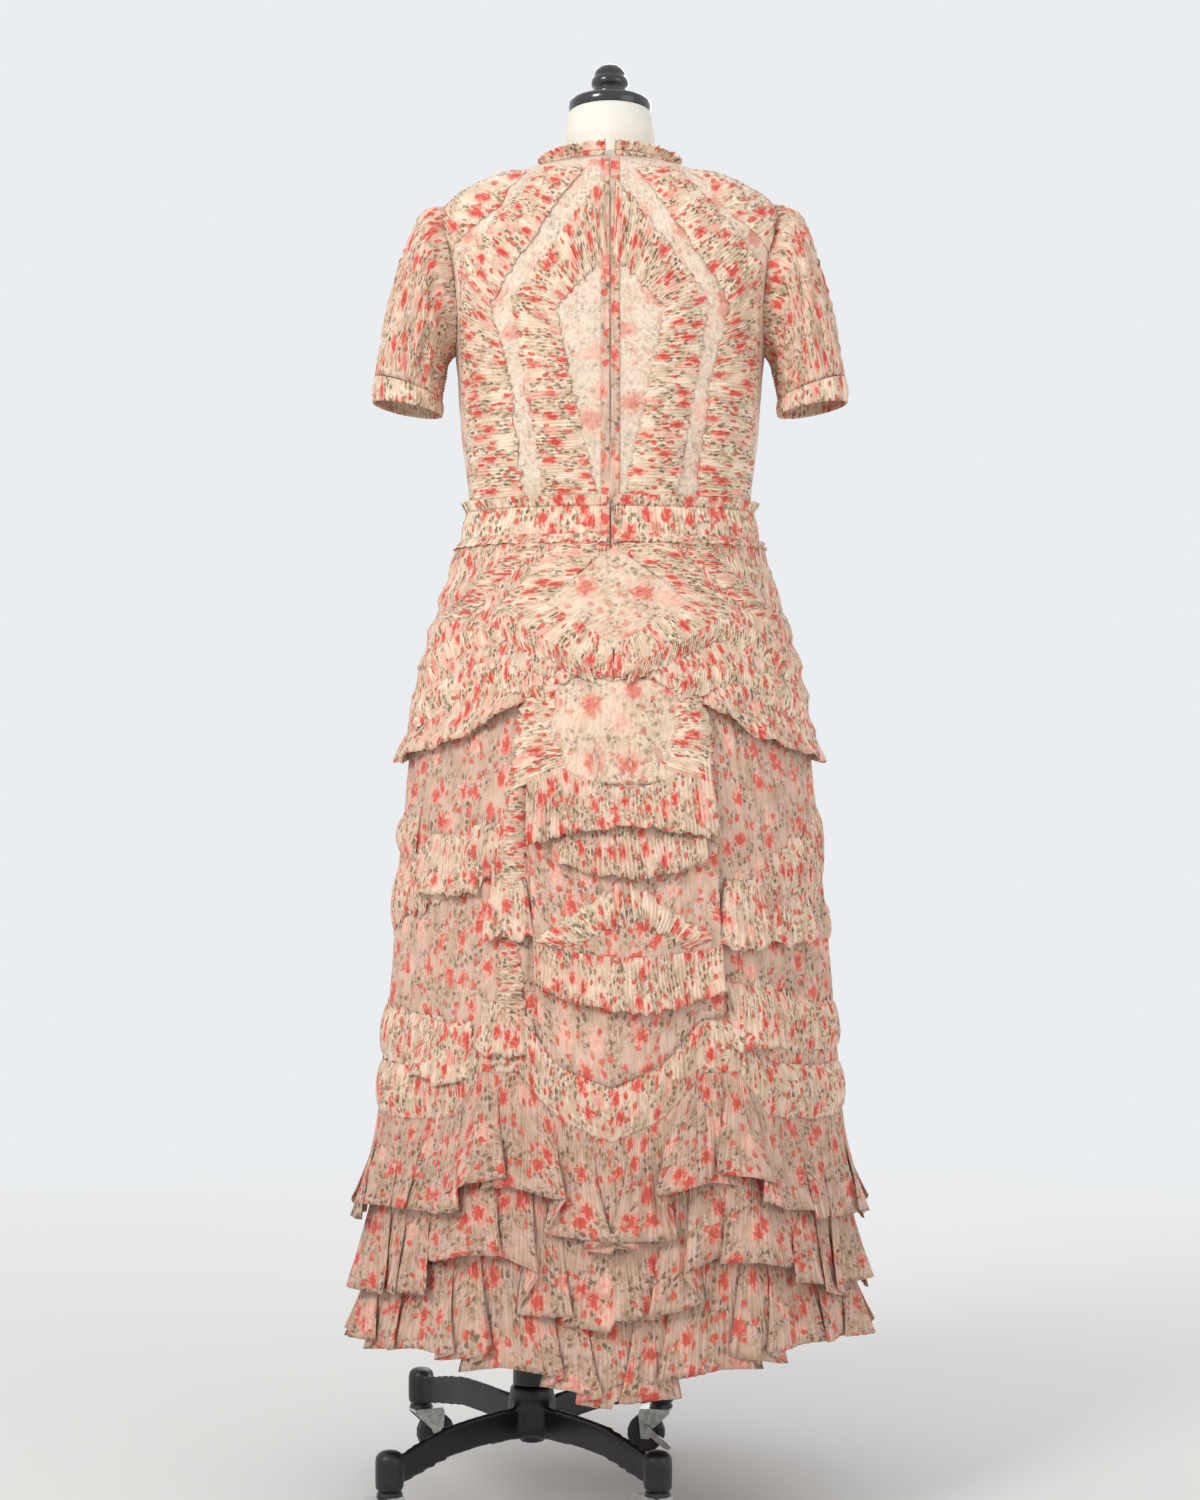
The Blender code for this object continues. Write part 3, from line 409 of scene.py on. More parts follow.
def share_of(phi):
    return (phi - phi.min()) / (phi.max() - phi.min())


def beside_zip(folds, radius, spare=0.0):
    """Columns all round from one side of the zip to the other, SAMPLES for each fold."""
    gap = math.degrees(math.atan((ZIP_HALF + spare) / radius))
    return across(folds * SAMPLES + 1, gap, 360 - gap)


print("waist ring:", [round(float(v)) for v in shape_at(BODY, np.float64(984))[:2]])

# %% [markdown]
# Gathered net is never regular. Its folds come from a smooth random field, drawn once
# from a fixed seed, that shifts and deepens a plain wave.

# %% Uneven gathers
FIELD = np.random.default_rng(24).random((256, 256)) * 2 - 1


def uneven(x, y, seed=0, wrap=256):
    """Smooth random values from -1 to 1, which repeat after wrap steps of x."""
    x, y = np.broadcast_arrays(np.asarray(x, float), np.asarray(y, float))
    i, j = np.floor(x).astype(int), np.floor(y).astype(int)
    s, t = smooth(x - i), smooth(y - j)

    def at(a, b):
        return FIELD[(a % wrap) % 256, (b + 37 * seed) % 256]

    low = at(i, j) * (1 - s) + at(i + 1, j) * s
    high = at(i, j + 1) * (1 - s) + at(i + 1, j + 1) * s
    return low * (1 - t) + high * t


def gathers(along, below, count, seed, wander=0.5, crisp=False):
    """A row of count folds. along runs from 0 to 1 across them, below is mm down them.

    wander says how far a fold strays, in folds, and crisp ones are pressed to an edge.
    """
    wide, fine = max(3, round(count / 5)), max(3, round(count / 1.9))
    phase = count * along + wander * uneven(along * wide, below / 55, seed, wide)
    phase = phase + 0.3 * wander * uneven(along * fine, below / 16, seed + 1, fine)
    depth = 0.66 + 0.34 * uneven(along * wide * 2, below / 30, seed + 2, wide * 2)
    if crisp:
        return (1 - 2 * np.abs(np.sin(np.pi * phase))) * depth
    return np.sin(2 * np.pi * phase) * depth


print("a fold:", np.round(gathers(np.linspace(0, 0.1, 5), 0.0, 20, 1), 2))

# %% [markdown]
# Every piece of net is sewn in the same way: a grid of points becomes a mesh, its flat
# cut in metres becomes the UV map, and a Solidify gives it the wall of real net.

# %% Sewing a shell
NET, SHORTEST_CUT = 0.5, 0.0105


def facing_out(points):
    """Whether the grid's faces look away from the body's axis."""
    lower = points[1:, :-1] - points[:-1, :-1]
    beside = points[:-1, 1:] - points[:-1, :-1]
    away = points[:-1, :-1] * (1, 1, 0)
    return float((np.cross(lower, beside) * away).sum()) > 0


def sew(name, points, cut, finish, replaces=(), ring_shaped=False,
        wall=NET, inward=None):
    """A cloth shell from rows of points in mm and the same rows of its flat cut in mm.

    A ring-shaped piece has one more column in its cut than in its points.
    """
    flip = not facing_out(points) if inward is None else inward
    if flip:
        points, cut = points[:, ::-1], cut[:, ::-1]
    rows, columns = points.shape[:2]
    r = np.arange(rows - 1)[:, None]
    c = np.arange(columns if ring_shaped else columns - 1)[None, :]
    d = (c + 1) % columns
    quads = np.stack(
        [r * columns + c, (r + 1) * columns + c, (r + 1) * columns + d, r * columns + d], -1
    )
    mesh = bpy.data.meshes.new(name)
    mesh.from_pydata((points.reshape(-1, 3) * MM).tolist(), [], quads.reshape(-1, 4).tolist())
    corners = np.stack(
        [cut[r, c], cut[r + 1, c], cut[r + 1, c + 1], cut[r, c + 1]], -2
    ).reshape(-1, 2)
    mesh.uv_layers.new(name="cut").data.foreach_set("uv", (corners * MM).ravel())
    mesh.shade_smooth()
    mesh.materials.append(finishes[finish])
    piece = bpy.data.objects.new(name, mesh)
    bpy.context.scene.collection.objects.link(piece)
    shell = piece.modifiers.new("wall", "SOLIDIFY")
    shell.thickness = wall * MM
    shell.offset = -1.0
    length = max(float(np.abs(cut[-1, :, 1] - cut[0, :, 1]).mean()) * MM, SHORTEST_CUT)
    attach(piece, "form")
    if replaces:
        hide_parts(*replaces)


def cut_of(points, fullness=1.0, start=(0.0, 0.0), ring_shaped=False):
    """The flat cut of a grid: mm across and down it, with more cloth across where gathered."""
    looped = np.concatenate([points, points[:, :1]], 1) if ring_shaped else points
    widths = np.linalg.norm(np.diff(looped, axis=1), axis=-1).mean(0)
    heights = np.linalg.norm(np.diff(points, axis=0), axis=-1).mean(1)
    u = np.concatenate([[0], np.cumsum(widths)]) * fullness + start[0]
    v = start[1] - np.concatenate([[0], np.cumsum(heights)])
    return np.stack(np.broadcast_arrays(u[None, :], v[:, None]), -1)


def lifted(points, height, ring_shaped=False):
    """A grid's points moved out along its own normals."""
    if ring_shaped:
        looped = np.concatenate([points[:, -1:], points, points[:, :1]], 1)
        beside = np.gradient(looped, axis=1)[:, 1:-1]
    else:
        beside = np.gradient(points, axis=1)
    normal = np.cross(np.gradient(points, axis=0), beside)
    normal /= np.linalg.norm(normal, axis=-1, keepdims=True) + 1e-9
    if not facing_out(points):
        normal = -normal
    return points + normal * height[..., None]


# %% [markdown]
# The form is a stiff shell under stretched canvas. Only its neck shows above the dress,
# but its pale canvas is what brightens the sheer net in front of it.

# %% The form's canvas
TORSO = (
    (1384, 41, 41, 14, 2.0), (1360, 45, 44, 12, 2.0), (1336, 49, 47, 9, 2.0),
    (1326.9, 66, 57, 8, 2.0), (1319.9, 90.5, 59.5, 7, 2.1), (1309.9, 119, 63.5, 5, 2.2),
    (1296.9, 144, 67.5, 3, 2.4), (1281.9, 158.5, 73, 1, 2.5), (1258, 163, 80, 0, 2.5),
    (1225, 160, 88, 1, 2.5), (1180, 153, 98, 5, 2.4), (1130, 147, 104, 9, 2.3),
    (1080, 142, 101, 7, 2.3), (1030, 136, 94, 3, 2.2), (967, 131, 88, 0, 2.1),
    (895, 149, 103, 0, 2.1), (820, 161, 115, 0, 2.1), (762, 158, 112, 0, 2.1),
)


CANVAS_LIGHT, CANVAS_DARK = (0.83, 0.78, 0.69, 1), (0.78, 0.73, 0.64, 1)
CANVAS_THREADS, CANVAS_WALL = 4200.0, 3.0
NECK_Y, NECK_LEAN = 14.0, 0.105


def canvas_finish():
    made, shader, wire = finish_of("canvas", 0.9, sheen=0.1)
    flat = flat_spot(wire)
    weave = (flat.part(0) * CANVAS_THREADS).sine() * (flat.part(1) * CANVAS_THREADS).sine()
    tone = noise(wire, flat, 9.0, 4.0).under(0.5, 0.4).mix(CANVAS_LIGHT, CANVAS_DARK)
    feed(shader, tone, "Base Color")
    relief(shader, weave, 0.3, 0.0004)
    return made


def form_cover():
    heights = np.concatenate([down(26, 1384, 1270), down(30, 1262, 763)])
    points = ring(TORSO, across(97, 0, 360)[:, :-1], heights)
    points[..., 2] += NECK_LEAN * (NECK_Y - points[..., 1]) * smooth((points[..., 2] - 1342) / 40)
    sew("form_canvas", points, cut_of(points, ring_shaped=True), "canvas", ["torso"], True,
        wall=CANVAS_WALL)


finishes["canvas"] = canvas_finish()
form_cover()

# %% [markdown]
# The bodice is cut from one layer of sheer net, so the canvas glows through it. Its back
# is in two halves beside the zip, and each half stops at the armhole.

# %% Bodice net
def bodice_net():
    z = np.concatenate([down(20, NECK_Z, 1262), down(38, 1256, 983.4)])
    slit = np.degrees(np.arctan(ZIP_HALF / np.where(z > 1200, NECK_RADIUS, WAIST_RADIUS)))
    edge = np.minimum(armhole_phi(z), 89.85)
    for side, label in SIDES:
        phi = slit + (edge - slit) * across(38)
        wrinkle = 0.8 * uneven(phi / 7 + z / 60, z / 34, 5 + side)
        points = dress(side * phi, z, wrinkle)
        cut = cut_of(points, 1.05, (40.0 * side, 0.0))
        sew(f"bodice_net_{label}", points, cut, "sheer", [f"bodice_back_{label}"])
    phi = edge + 0.3 + (360 - 2 * edge - 0.6) * across(64)
    points = dress(phi, z, 0.9 * gathers(share_of(phi), z, 60, 9) * 0.6)
    sew("bodice_net_front", points, cut_of(points, 1.4), "skirt", ["bodice_front"])


bodice_net()

# %% [markdown]
# A ruched band is a strip of net cut more than twice as long as its place and gathered
# along both edges. Its folds run straight across it, and outside each row of stitches a
# narrow heading stands up. Bands frame the sheer diamond of the back.

# %% Ruched bands
BAND_ROWS = np.array([-0.06, 0.0, 0.09, 0.28, 0.5, 0.72, 0.91, 1.0, 1.06])[:, None]
FOLD_PITCH, FULLNESS, USUAL_WIDTH, END_TAPER, MM_A_DEGREE = 3.4, 2.3, 40, 6.0, 3.6


def walk(corners, knots, shares):
    """Points along a row of corners, each of which is reached at its own knot."""
    corners = np.array(corners, float)
    return np.stack([np.interp(shares, knots, corners[:, k]) for k in (0, 1)], -1)


def ruched(name, near, far, base, seed, by_angle=False, replaces=(), fold=1.5, crown=1.6,
           heading=2.2, limit=None, finish="ruched", rests_on=("bodice_net_left",),
           pitch=FOLD_PITCH):
    """A gathered band between two edges, given as corners (x or phi, z) on the dress.

    Both edges have as many corners, and the folds run from corner to corner across it.
    fold and crown are how deep the folds and the band's own bulge are, and heading is how
    ragged its cut edges are, all in mm. It lies base mm off the dress.
    """
    middle = (np.array(near, float) + np.array(far, float)) / 2
    middle[:, 0] *= MM_A_DEGREE if by_angle else 1.0
    knots = np.append(0, np.cumsum(np.linalg.norm(np.diff(middle, axis=0), axis=1)))
    length, knots = float(knots[-1]), knots / knots[-1]
    folds = max(6, round(length / pitch))
    along = spread(0, 1, folds * SAMPLES + 1)
    inner, outer = walk(near, knots, along)[None], walk(far, knots, along)[None]
    t = BAND_ROWS
    wave = gathers(along[None, :], t * USUAL_WIDTH, folds, seed, 0.55)
    torn = heading / USUAL_WIDTH * uneven(along[None] * folds, 0, seed)
    ragged = np.where((t < 0) | (t > 1), torn, 0)
    place = inner + (outer - inner) * (t + np.sign(t - 0.5) * ragged)[..., None]
    z = place[..., 1]
    phi = place[..., 0] if by_angle else phi_of(place[..., 0], z)
    if limit is not None:
        phi = np.clip(phi, -limit(z), limit(z))
    ends = smooth(np.minimum(along, 1 - along) * length / END_TAPER)[None]
    puff = bulge(np.clip(t, 0, 1)) ** 0.6 * ends
    depth = fold * (0.12 + 0.88 * puff)
    below = base(phi, z) if callable(base) else base
    out = below - 0.5 * (1 - puff) + crown * puff + depth * (1 + wave)
    points = dress(phi, z, out)
    cut = cut_of(points, 1.0, (90.0 * seed, 33.0 * seed))
    cut[..., 0] = 90.0 * seed + along[None, :] * length * FULLNESS
    sew(name, points, cut, finish, replaces)


BANDS = (
    ("inner_band", ((3, 1228), (55, 1172), (40, 1101), (14, 985)),
     ((6, 1298), (93, 1182), (80, 1101), (61, 985)), 1.6),
    ("outer_band", ((28, 1314), (118, 1182), (99, 1101), (86, 985)),
     ((62, 1318), (146, 1218), (142, 1101), (133, 985)), 1.9),
)
SHOULDER_LOW = ((80, 1316), (112, 1277), (158, 1236))
SHOULDER_RIDGE = ((90.0, 1327), (90.0, 1308), (90.0, 1292))


def bodice_bands():
    for number, (name, near, far, base) in enumerate(BANDS):
        for side, label in SIDES:
            edges = [[(side * x, z) for x, z in edge] for edge in (near, far)]
            ruched(f"{name}_{label}_ruched", *edges, base, 11 + 4 * number + side,
                   replaces=[f"{name}_{label}"], limit=armhole_phi,
                   rests_on=[f"bodice_net_{label}"])
    for side, label in SIDES:
        lower = [(side * float(phi_of(x, z)), z) for x, z in SHOULDER_LOW]
        ridge = [(side * phi, z) for phi, z in SHOULDER_RIDGE]
        ruched(f"shoulder_band_{label}", lower, ridge, 1.2, 31 + side, True, heading=1.0,
               limit=armhole_phi, rests_on=[f"bodice_net_{label}"])


bodice_bands()

# %% [markdown]
# An invisible zip closes the back. Only a hair-line of it shows, and the turned net on
# each side of it reads as a denser strip.

# %% Zip and its facings
FACING_TOP, FACING_LENGTH, FACING_WIDTH = 1326, 461, 8.2
TAPE_DARK, TAPE_LIGHT = (0.62, 0.46, 0.34, 1), (0.76, 0.60, 0.46, 1)
TEETH = 2600.0


def zip_facings():
    heights = np.concatenate([down(16, FACING_TOP, 1300), down(120, 1298, ZIP_END + 2)])
    for side, label in SIDES:
        x = side * (0.8 + across(9) * FACING_WIDTH)
        wave = 0.35 * gathers((FACING_TOP - heights) / FACING_LENGTH, x, 95, 50 + side)
        edge = np.where(np.abs(x) < ZIP_HALF + 1.5, 0.9, 0.35)
        waist = 3.6 * smooth(1 - np.abs(heights - 966) / 24) + 2.6 * smooth((958 - heights) / 12)
        points = dress(phi_of(x, heights), heights, 0.7 + wave + edge + waist)
        cut = cut_of(points, 1.0, (600.0 * side, 200.0))
        sew(f"zip_facing_{label}", points, cut, "skirt")


def tape_finish():
    made, shader, wire = finish_of("zip_tape", 0.6)
    teeth = (solid_spot(wire).part(2) * TEETH).sine()
    feed(shader, teeth.under(0.0, 1.6).mix(TAPE_DARK, TAPE_LIGHT), "Base Color")
    relief(shader, teeth, 0.5, 0.0004)
    return made


def refinish(thing, look):
    """One finish in place of whatever a piece has."""
    thing.data.materials.clear()
    thing.data.materials.append(look)


zip_facings()
tape = tape_finish()
for node in ("zip", "neck_hook", "neck_loop"):
    refinish(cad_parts[node], tape)

# %% [markdown]
# The neckband is gathered like the bands, and a pleated frill a finger high stands on it.

# %% Neck
NECK = {"height": 5.5, "top_scale": 0.98, "frill_height": 14.5, "frill_scale": 1.08}
NECK_FOLDS, NECK_PLEATS = 105, 84


def neck_ring(phi, scale, height):
    points = dress(phi, NECK_Z)
    middle = float(shape_at(BODY, np.float64(NECK_Z))[2])
    x, y = points[..., 0] * scale, middle + (points[..., 1] - middle) * scale
    dip = 7.0 * np.sin(np.radians(phi)) ** 2 * smooth(height / 8)
    return np.stack(np.broadcast_arrays(x, y, NECK_Z + height - dip), -1)


def neck():
    phi = beside_zip(NECK_FOLDS, NECK_RADIUS, 2.5)
    share = down(9)
    wave = gathers(share_of(phi), share * 15, NECK_FOLDS, 61)
    points = neck_ring(phi, 1.0 + (NECK["top_scale"] - 1) * share,
                       0.6 + share * NECK["height"])[::-1]
    points = lifted(points, bulge(share[::-1]) * 1.6 + 0.9 * wave[::-1])
    cut = cut_of(points, 1.3, (900.0, 0.0))
    sew("neckband_ruched", points, cut, "ruched", ["neckband"])
    share = down(7)
    flare = NECK["top_scale"] + (NECK["frill_scale"] - NECK["top_scale"]) * share
    ragged = 1.6 * uneven(phi * 0.7, 0, 63) * share
    pleats = gathers(share_of(phi), share * 12, NECK_PLEATS, 62) * 0.042 * share
    rise = NECK["frill_height"] - NECK["height"] - 0.5
    points = neck_ring(phi, flare + pleats, NECK["height"] + 0.5 + share * rise + ragged)[::-1]
    sew("neck_frill_pleated", points, cut_of(points, 1.0, (0.0, 400.0)), "ruched",
        ["neck_frill"])


neck()

# %% [markdown]
# The short sleeves are puffed: gathered into the armhole above and into a cuff below,
# with rows of stitching between that leave small ribs all the way down.

# %% Sleeves
SLEEVE = (
    (186, 1281, 163, 1132, 57), (204, 1240, 166, 1119, 63),
    (221, 1182, 168, 1106, 62), (234, 1118, 169, 1095, 57),
)
CUFF = ((234.2, 1117, 169, 1095, 57), (236, 1091, 169, 1079, 56))
SLEEVE_FOLDS, SLEEVE_RIBS, ARMHOLE_INSET = 56, 17, 2.4


def sleeve_ring(row, turn):
    outer_x, outer_z, inner_x, inner_z, depth = row
    c, s = np.cos(turn), np.sin(turn)
    x = (outer_x + inner_x) / 2 + (outer_x - inner_x) / 2 * c
    z = (outer_z + inner_z) / 2 + (outer_z - inner_z) / 2 * c
    return np.stack([x, depth * s, z], -1)


def armhole_ring(turn):
    z = ARMHOLE["z"] + (ARMHOLE["half_height"] - ARMHOLE_INSET) * np.cos(turn)
    y = (ARMHOLE["half_depth"] - ARMHOLE_INSET) * np.sin(turn)
    width, depth, forward, square = shape_at(BODY, z)
    share = np.minimum(np.abs(y - forward) / depth, 0.999)
    return np.stack([width * (1 - share**square) ** (1 / square), y, z], -1)


def smooth_rows(rows, shares):
    """Rows of points on smooth curves that run through a few key rows."""
    keys = np.array([2 * rows[0] - rows[1], *rows, 2 * rows[-1] - rows[-2]])
    made = []
    for share in shares:
        i = min(int(share * (len(rows) - 1)), len(rows) - 2)
        t = share * (len(rows) - 1) - i
        a, b, c, d = keys[i:i + 4]
        made.append(0.5 * (2 * b + (c - a) * t + (2 * a - 5 * b + 4 * c - d) * t**2
                           + (3 * b - a - 3 * c + d) * t**3))
    return np.array(made)


def sleeves():
    folds = SLEEVE_FOLDS
    turn = spread(0, 2 * np.pi, folds * SAMPLES + 1)[:-1]
    around = (turn / (2 * np.pi))[None, :]
    for side, label in SIDES:
        rows = [armhole_ring(turn), *(sleeve_ring(row, turn) for row in SLEEVE)]
        share = down(40)
        points = smooth_rows(rows, share[:, 0])
        wave = gathers(around, share * 150, folds, 70 + side, 0.8)
        soft = gathers(around, share * 150, 13, 74 + side, 0.7)
        ribs = np.sin(2 * np.pi * share * SLEEVE_RIBS)
        ribs = ribs * (0.6 + 0.4 * uneven(around * 30, share * 9, 7, 30))
        ends = bulge(np.clip(share, 0.02, 1)) ** 0.5
        points = lifted(points, 1.2 * wave + 3.6 * soft * ends + 1.2 * ribs * ends, True)
        points = points * (side, 1, 1)
        sew(f"sleeve_net_{label}", points, cut_of(points, 1.7, (side * 900.0, 0), True),
            "ruffle", [f"sleeve_{label}"], True,
            inward=side < 0)
        share = down(9)
        rows = [sleeve_ring(row, turn) for row in CUFF]
        points = rows[0] + (rows[1] - rows[0]) * share[..., None]
        wave = gathers(around, share * 14, folds, 80 + side, 0.4)
        points = lifted(points, 0.7 + 1.5 * bulge(share) + 0.9 * wave, True)
        points = points * (side, 1, 1)
        sew(f"cuff_ruched_{label}", points, cut_of(points, 1.7, (side * 300.0, 700.0), True),
            "ruched", [f"cuff_{label}"], True,
            inward=side < 0)


sleeves()

# %% [markdown]
# A ruched waistband with a tiny frill at each edge joins bodice and skirt.

# %% Waist
WAIST_FOLDS, FRILL_PLEATS = 190, 130
WAIST_FRILLS = (("waist_frill_top", WAIST_TOP - 3, 11.0, 92),
                ("waist_frill_low", WAIST_LOW + 3, -11.0, 94))


def waist():
    phi, share = beside_zip(WAIST_FOLDS, WAIST_RADIUS), down(9)
    z = WAIST_TOP - 0.4 - (WAIST_TOP - WAIST_LOW - 0.8) * share
    wave = gathers(share_of(phi), share * 33, WAIST_FOLDS, 90)
    points = dress(phi, z, 0.9 + 2.2 * bulge(share) + 0.8 * (1 + wave))
    sew("waistband_ruched", points, cut_of(points, 1.5, (0, 50.0)), "ruched", ["waistband"])
    phi, share = beside_zip(FRILL_PLEATS, WAIST_RADIUS, 1.5), down(6)
    for name, start, lift, seed in WAIST_FRILLS:
        pleat = gathers(share_of(phi), share * 8, FRILL_PLEATS, seed)
        ragged = 1.2 * uneven(phi, 0, seed + 1) * share
        z = start + np.sign(lift) * ((abs(lift) - 0.8) * share + ragged)
        points = dress(phi, z, 2.6 + 5.4 * share + 1.5 * share * pleat)
        if lift > 0:
            points = points[::-1]
        sew(name + "_pleated", points, cut_of(points, 1.3, (0, 90.0)), "ruched", [name])


waist()

# %% [markdown]
# Under the ruching the skirt is a bell of the same net with soft lengthwise folds. It is
# sewn from a back and a front, and the folds are deeper in some places than in others.

# %% Skirt net
PANEL_SEAMS = (-72, -47, -32.6, 41, 57, 76, 110, 140, 180, 220, 250)
BASQUE_TOP, SEAM_HEIGHT, SEAM_HALF = WAIST_LOW - 0.4, 1.5, 0.45


def skirt_net():
    for label, first, last in (("back", -89.95, 89.95), ("front", 90.05, 269.95)):
        phi = across(300 if label == "back" else 130, first, last)
        z = down(52, BASQUE_TOP, SKIRT_HEM)
        fade = smooth((900 - z) / 300)
        fine = gathers(share_of(phi), (950 - z) * 0.4, 46, 100, 0.9) * (0.5 + 1.3 * fade)
        out = fine + 1.6 * fade * uneven(phi / 9, z / 90, 102)
        for seam in PANEL_SEAMS:
            seam_line = np.exp(-(((phi - seam) / SEAM_HALF) ** 2))
            out = out + SEAM_HEIGHT * seam_line * smooth((820 - z) / 60)
        points = dress(phi, z, out)
        if label == "back":
            opening = (z > ZIP_END) & (np.abs(phi) < 1.1)
            points[..., 1] += np.where(opening, 3.0, 0.0)
        sew(f"skirt_net_{label}", points, cut_of(points, 1.4, (0, 1400.0)), "skirt",
            [f"skirt_{label}"])


skirt_net()

# %% [markdown]
# Over the hips lies a closely ruched basque. Rows of stitches run round it, small tucks
# lie over them at the sides, and its lower edge flares into a frill.

# %% Hip basque
HIP_EDGE = ((0, 810), (12, 811), (24, 800), (48, 755), (78, 733), (90, 732))
BASQUE, FRILL_START, FRILL_SHARE, WAVES = 2.3, 0.82, 0.18, 20
STITCH_PITCH, TUCK_PITCH = 37.0, 31.0
SHEER_MIDDLE, SHEER_HALF = (4, 888), (66, 50)


def hip_low(phi):
    return np.interp(from_centre(phi), *zip(*HIP_EDGE))


def diamond(phi, z):
    """1 in the middle of the sheer diamond at the hips, 0 outside it."""
    x = dress(phi, z)[..., 0]
    aside = np.abs(x - SHEER_MIDDLE[0]) / SHEER_HALF[0]
    inside = 1 - aside - np.abs(z - SHEER_MIDDLE[1]) / SHEER_HALF[1]
    return np.where(from_back(phi) > 60, 0.0, smooth(inside * 5))


def hip_frill(phi, free):
    """How far the frill stands out where free says how loose the cloth hangs, 0 to 1."""
    frill = 8.5 * free**1.4 + 3.8 * free**1.2 * np.cos(np.radians(WAVES * phi))
    return frill * (0.25 + 0.75 * smooth((from_back(phi) - 18) / 22))


def over_frill(phi, z):
    """The height of a band that runs over the basque and down its frill."""
    share = (BASQUE_TOP - z) / (BASQUE_TOP - hip_low(phi))
    free = smooth((share - FRILL_START) / FRILL_SHARE)
    return BASQUE + 2.8 + (hip_frill(phi, free) + 2.4 * free)


def over_basque(phi, z):
    return BASQUE + 3.6 + 0 * z


def hip_basque():
    near, far = across(451, -100, 100)[:, :-1], across(171, 100, 260)[:, :-1]
    phi = np.concatenate([near, far], 1)
    turn = (phi + 100) / 360
    share = down(38)
    top, low = BASQUE_TOP, hip_low(phi)
    z = top + (low - top) * share
    sheer = diamond(phi, z)
    wave = gathers(turn, share * 200, 170, 110, 0.9) * (1 - sheer)
    soft = gathers(turn, share * 200, 34, 113, 0.8)
    shift = 1.4 * uneven(turn * 12, 0, 5, 12)
    stitches = np.sin(2 * np.pi * (top - z) / STITCH_PITCH + shift)
    free = smooth((share - FRILL_START) / FRILL_SHARE)
    tuck = (top - z) / TUCK_PITCH + 0.22 * uneven(turn * 24, 0, 8, 24)
    side = smooth((from_back(phi) - 34) / 8)
    stitches = stitches + side * (2.4 * (tuck - np.floor(tuck)) ** 1.7 - 0.4)
    out = BASQUE + 1.0 * (1 + wave) + 1.2 * (1 - sheer) * (1 + stitches) * (1 - free)
    out = out + 1.2 * soft * share + hip_frill(phi, free) + free * 1.2 * wave
    z = z + 2.0 * free * uneven(turn * 120, 0, 116, 120)
    points = dress(phi, z, out)
    slit = (z > ZIP_END - 4) & (np.abs(phi) < 1.0)
    points[..., 1] += np.where(slit, 3.4, 0.0)
    sew("hip_basque_ruched", points, cut_of(points, 1.7, (0, 2100.0), True), "ruffle",
        ["hip_basque"], True)


hip_basque()

# %% [markdown]
# On the back, ruched bands frame a second sheer diamond below the waist. Chevrons of the
# same ruching run round both hips, and the lower ones lie over the basque's frill.

# %% Hip diamond and bands
HIP_BANDS = (
    ("hip_band_lower_left", ((-62, 888), (2, 846)), ((-104, 876), (2, 810)), 123),
    ("hip_band_lower_right", ((4, 846), (78, 888)), ((4, 810), (120, 872)), 124),
    ("hip_band_upper_left", ((-4, 942), (-60, 882)), ((-44, 948), (-106, 878)), 121),
    ("hip_band_upper_right", ((8, 942), (75, 882)), ((52, 946), (122, 872)), 122),
)
HIP_CHEVRONS = (
    ("hip_chevron_high", ((58, 950), (118, 888), (150, 862)), ((84, 950), (146, 888), (166, 874))),
    ("hip_chevron_middle", ((14, 806), (100, 850), (172, 812)), ((22, 828), (102, 874), (176, 838))),
    ("hip_chevron_low", ((60, 790), (116, 806), (186, 764)), ((62, 812), (116, 830), (188, 788))),
)
DIAMOND = ((3, 939), (77, 882), (3, 838), (-62, 882))


def hip_diamond():
    """The sheer panel inside the hip bands, square in its own cut and set on its point."""
    u, v = spread(0, 1, 40)[None, :, None], spread(0, 1, 40)[:, None, None]
    top, right, low, left = (np.array(corner, float) for corner in DIAMOND)
    place = (top * (1 - u) + right * u) * (1 - v) + (left * (1 - u) + low * u) * v
    x, z = place[..., 0], place[..., 1]
    slit = (z > ZIP_END - 3) * np.exp(-((x / 2.5) ** 2))
    wave = 0.7 * uneven(x / 5, z / 22, 118)
    points = dress(phi_of(x, z), z, BASQUE + 4.0 + wave - 1.6 * slit)
    sew("hip_diamond_net", points, cut_of(points, 1.05, (300.0, 260.0)), "hip")


def hip_bands():
    for number, (name, near, far) in enumerate(HIP_CHEVRONS):
        for side, label in SIDES:
            edges = [[(float(phi_of(side * x, z)), z) for x, z in edge] for edge in (near, far)]
            ruched(f"{name}_{label}", *edges, over_frill, 111 + 2 * number + side, True,
                   fold=1.4, crown=1.5, heading=3.2, rests_on=["hip_basque_ruched"])
    for name, near, far, seed in HIP_BANDS:
        ruched(name, near, far, over_basque, seed, fold=1.2, crown=1.2,
               rests_on=["hip_basque_ruched"])


hip_diamond()
hip_bands()

# %% [markdown]
# A separate net panel hangs down the centre back of the skirt. Its right edge stands off
# a little and throws the dark line of the photograph.

# %% Centre back panel
HEM_COLUMNS = ("phi", "seam", "tier_1", "tier_2", "tier_3_hem")
HEMS = (
    (0, 385, 290, 222, 151), (12, 403, 297, 230, 158), (18, 422, 330, 256, 172),
    (24, 446, 352, 279, 184), (33, 446, 350, 277, 186), (41, 402, 312, 240, 184),
    (60, 392, 304, 232, 180), (90, 393, 284, 216, 168),
)
BAND_DEPTH, PANEL_TOP, PANEL_OUT, PANEL_EDGE_LIFT = 46.0, 795, 2.5, 5.0
PANEL_RIDGES, RIDGE_HALF = (0.37, 0.72), 0.012


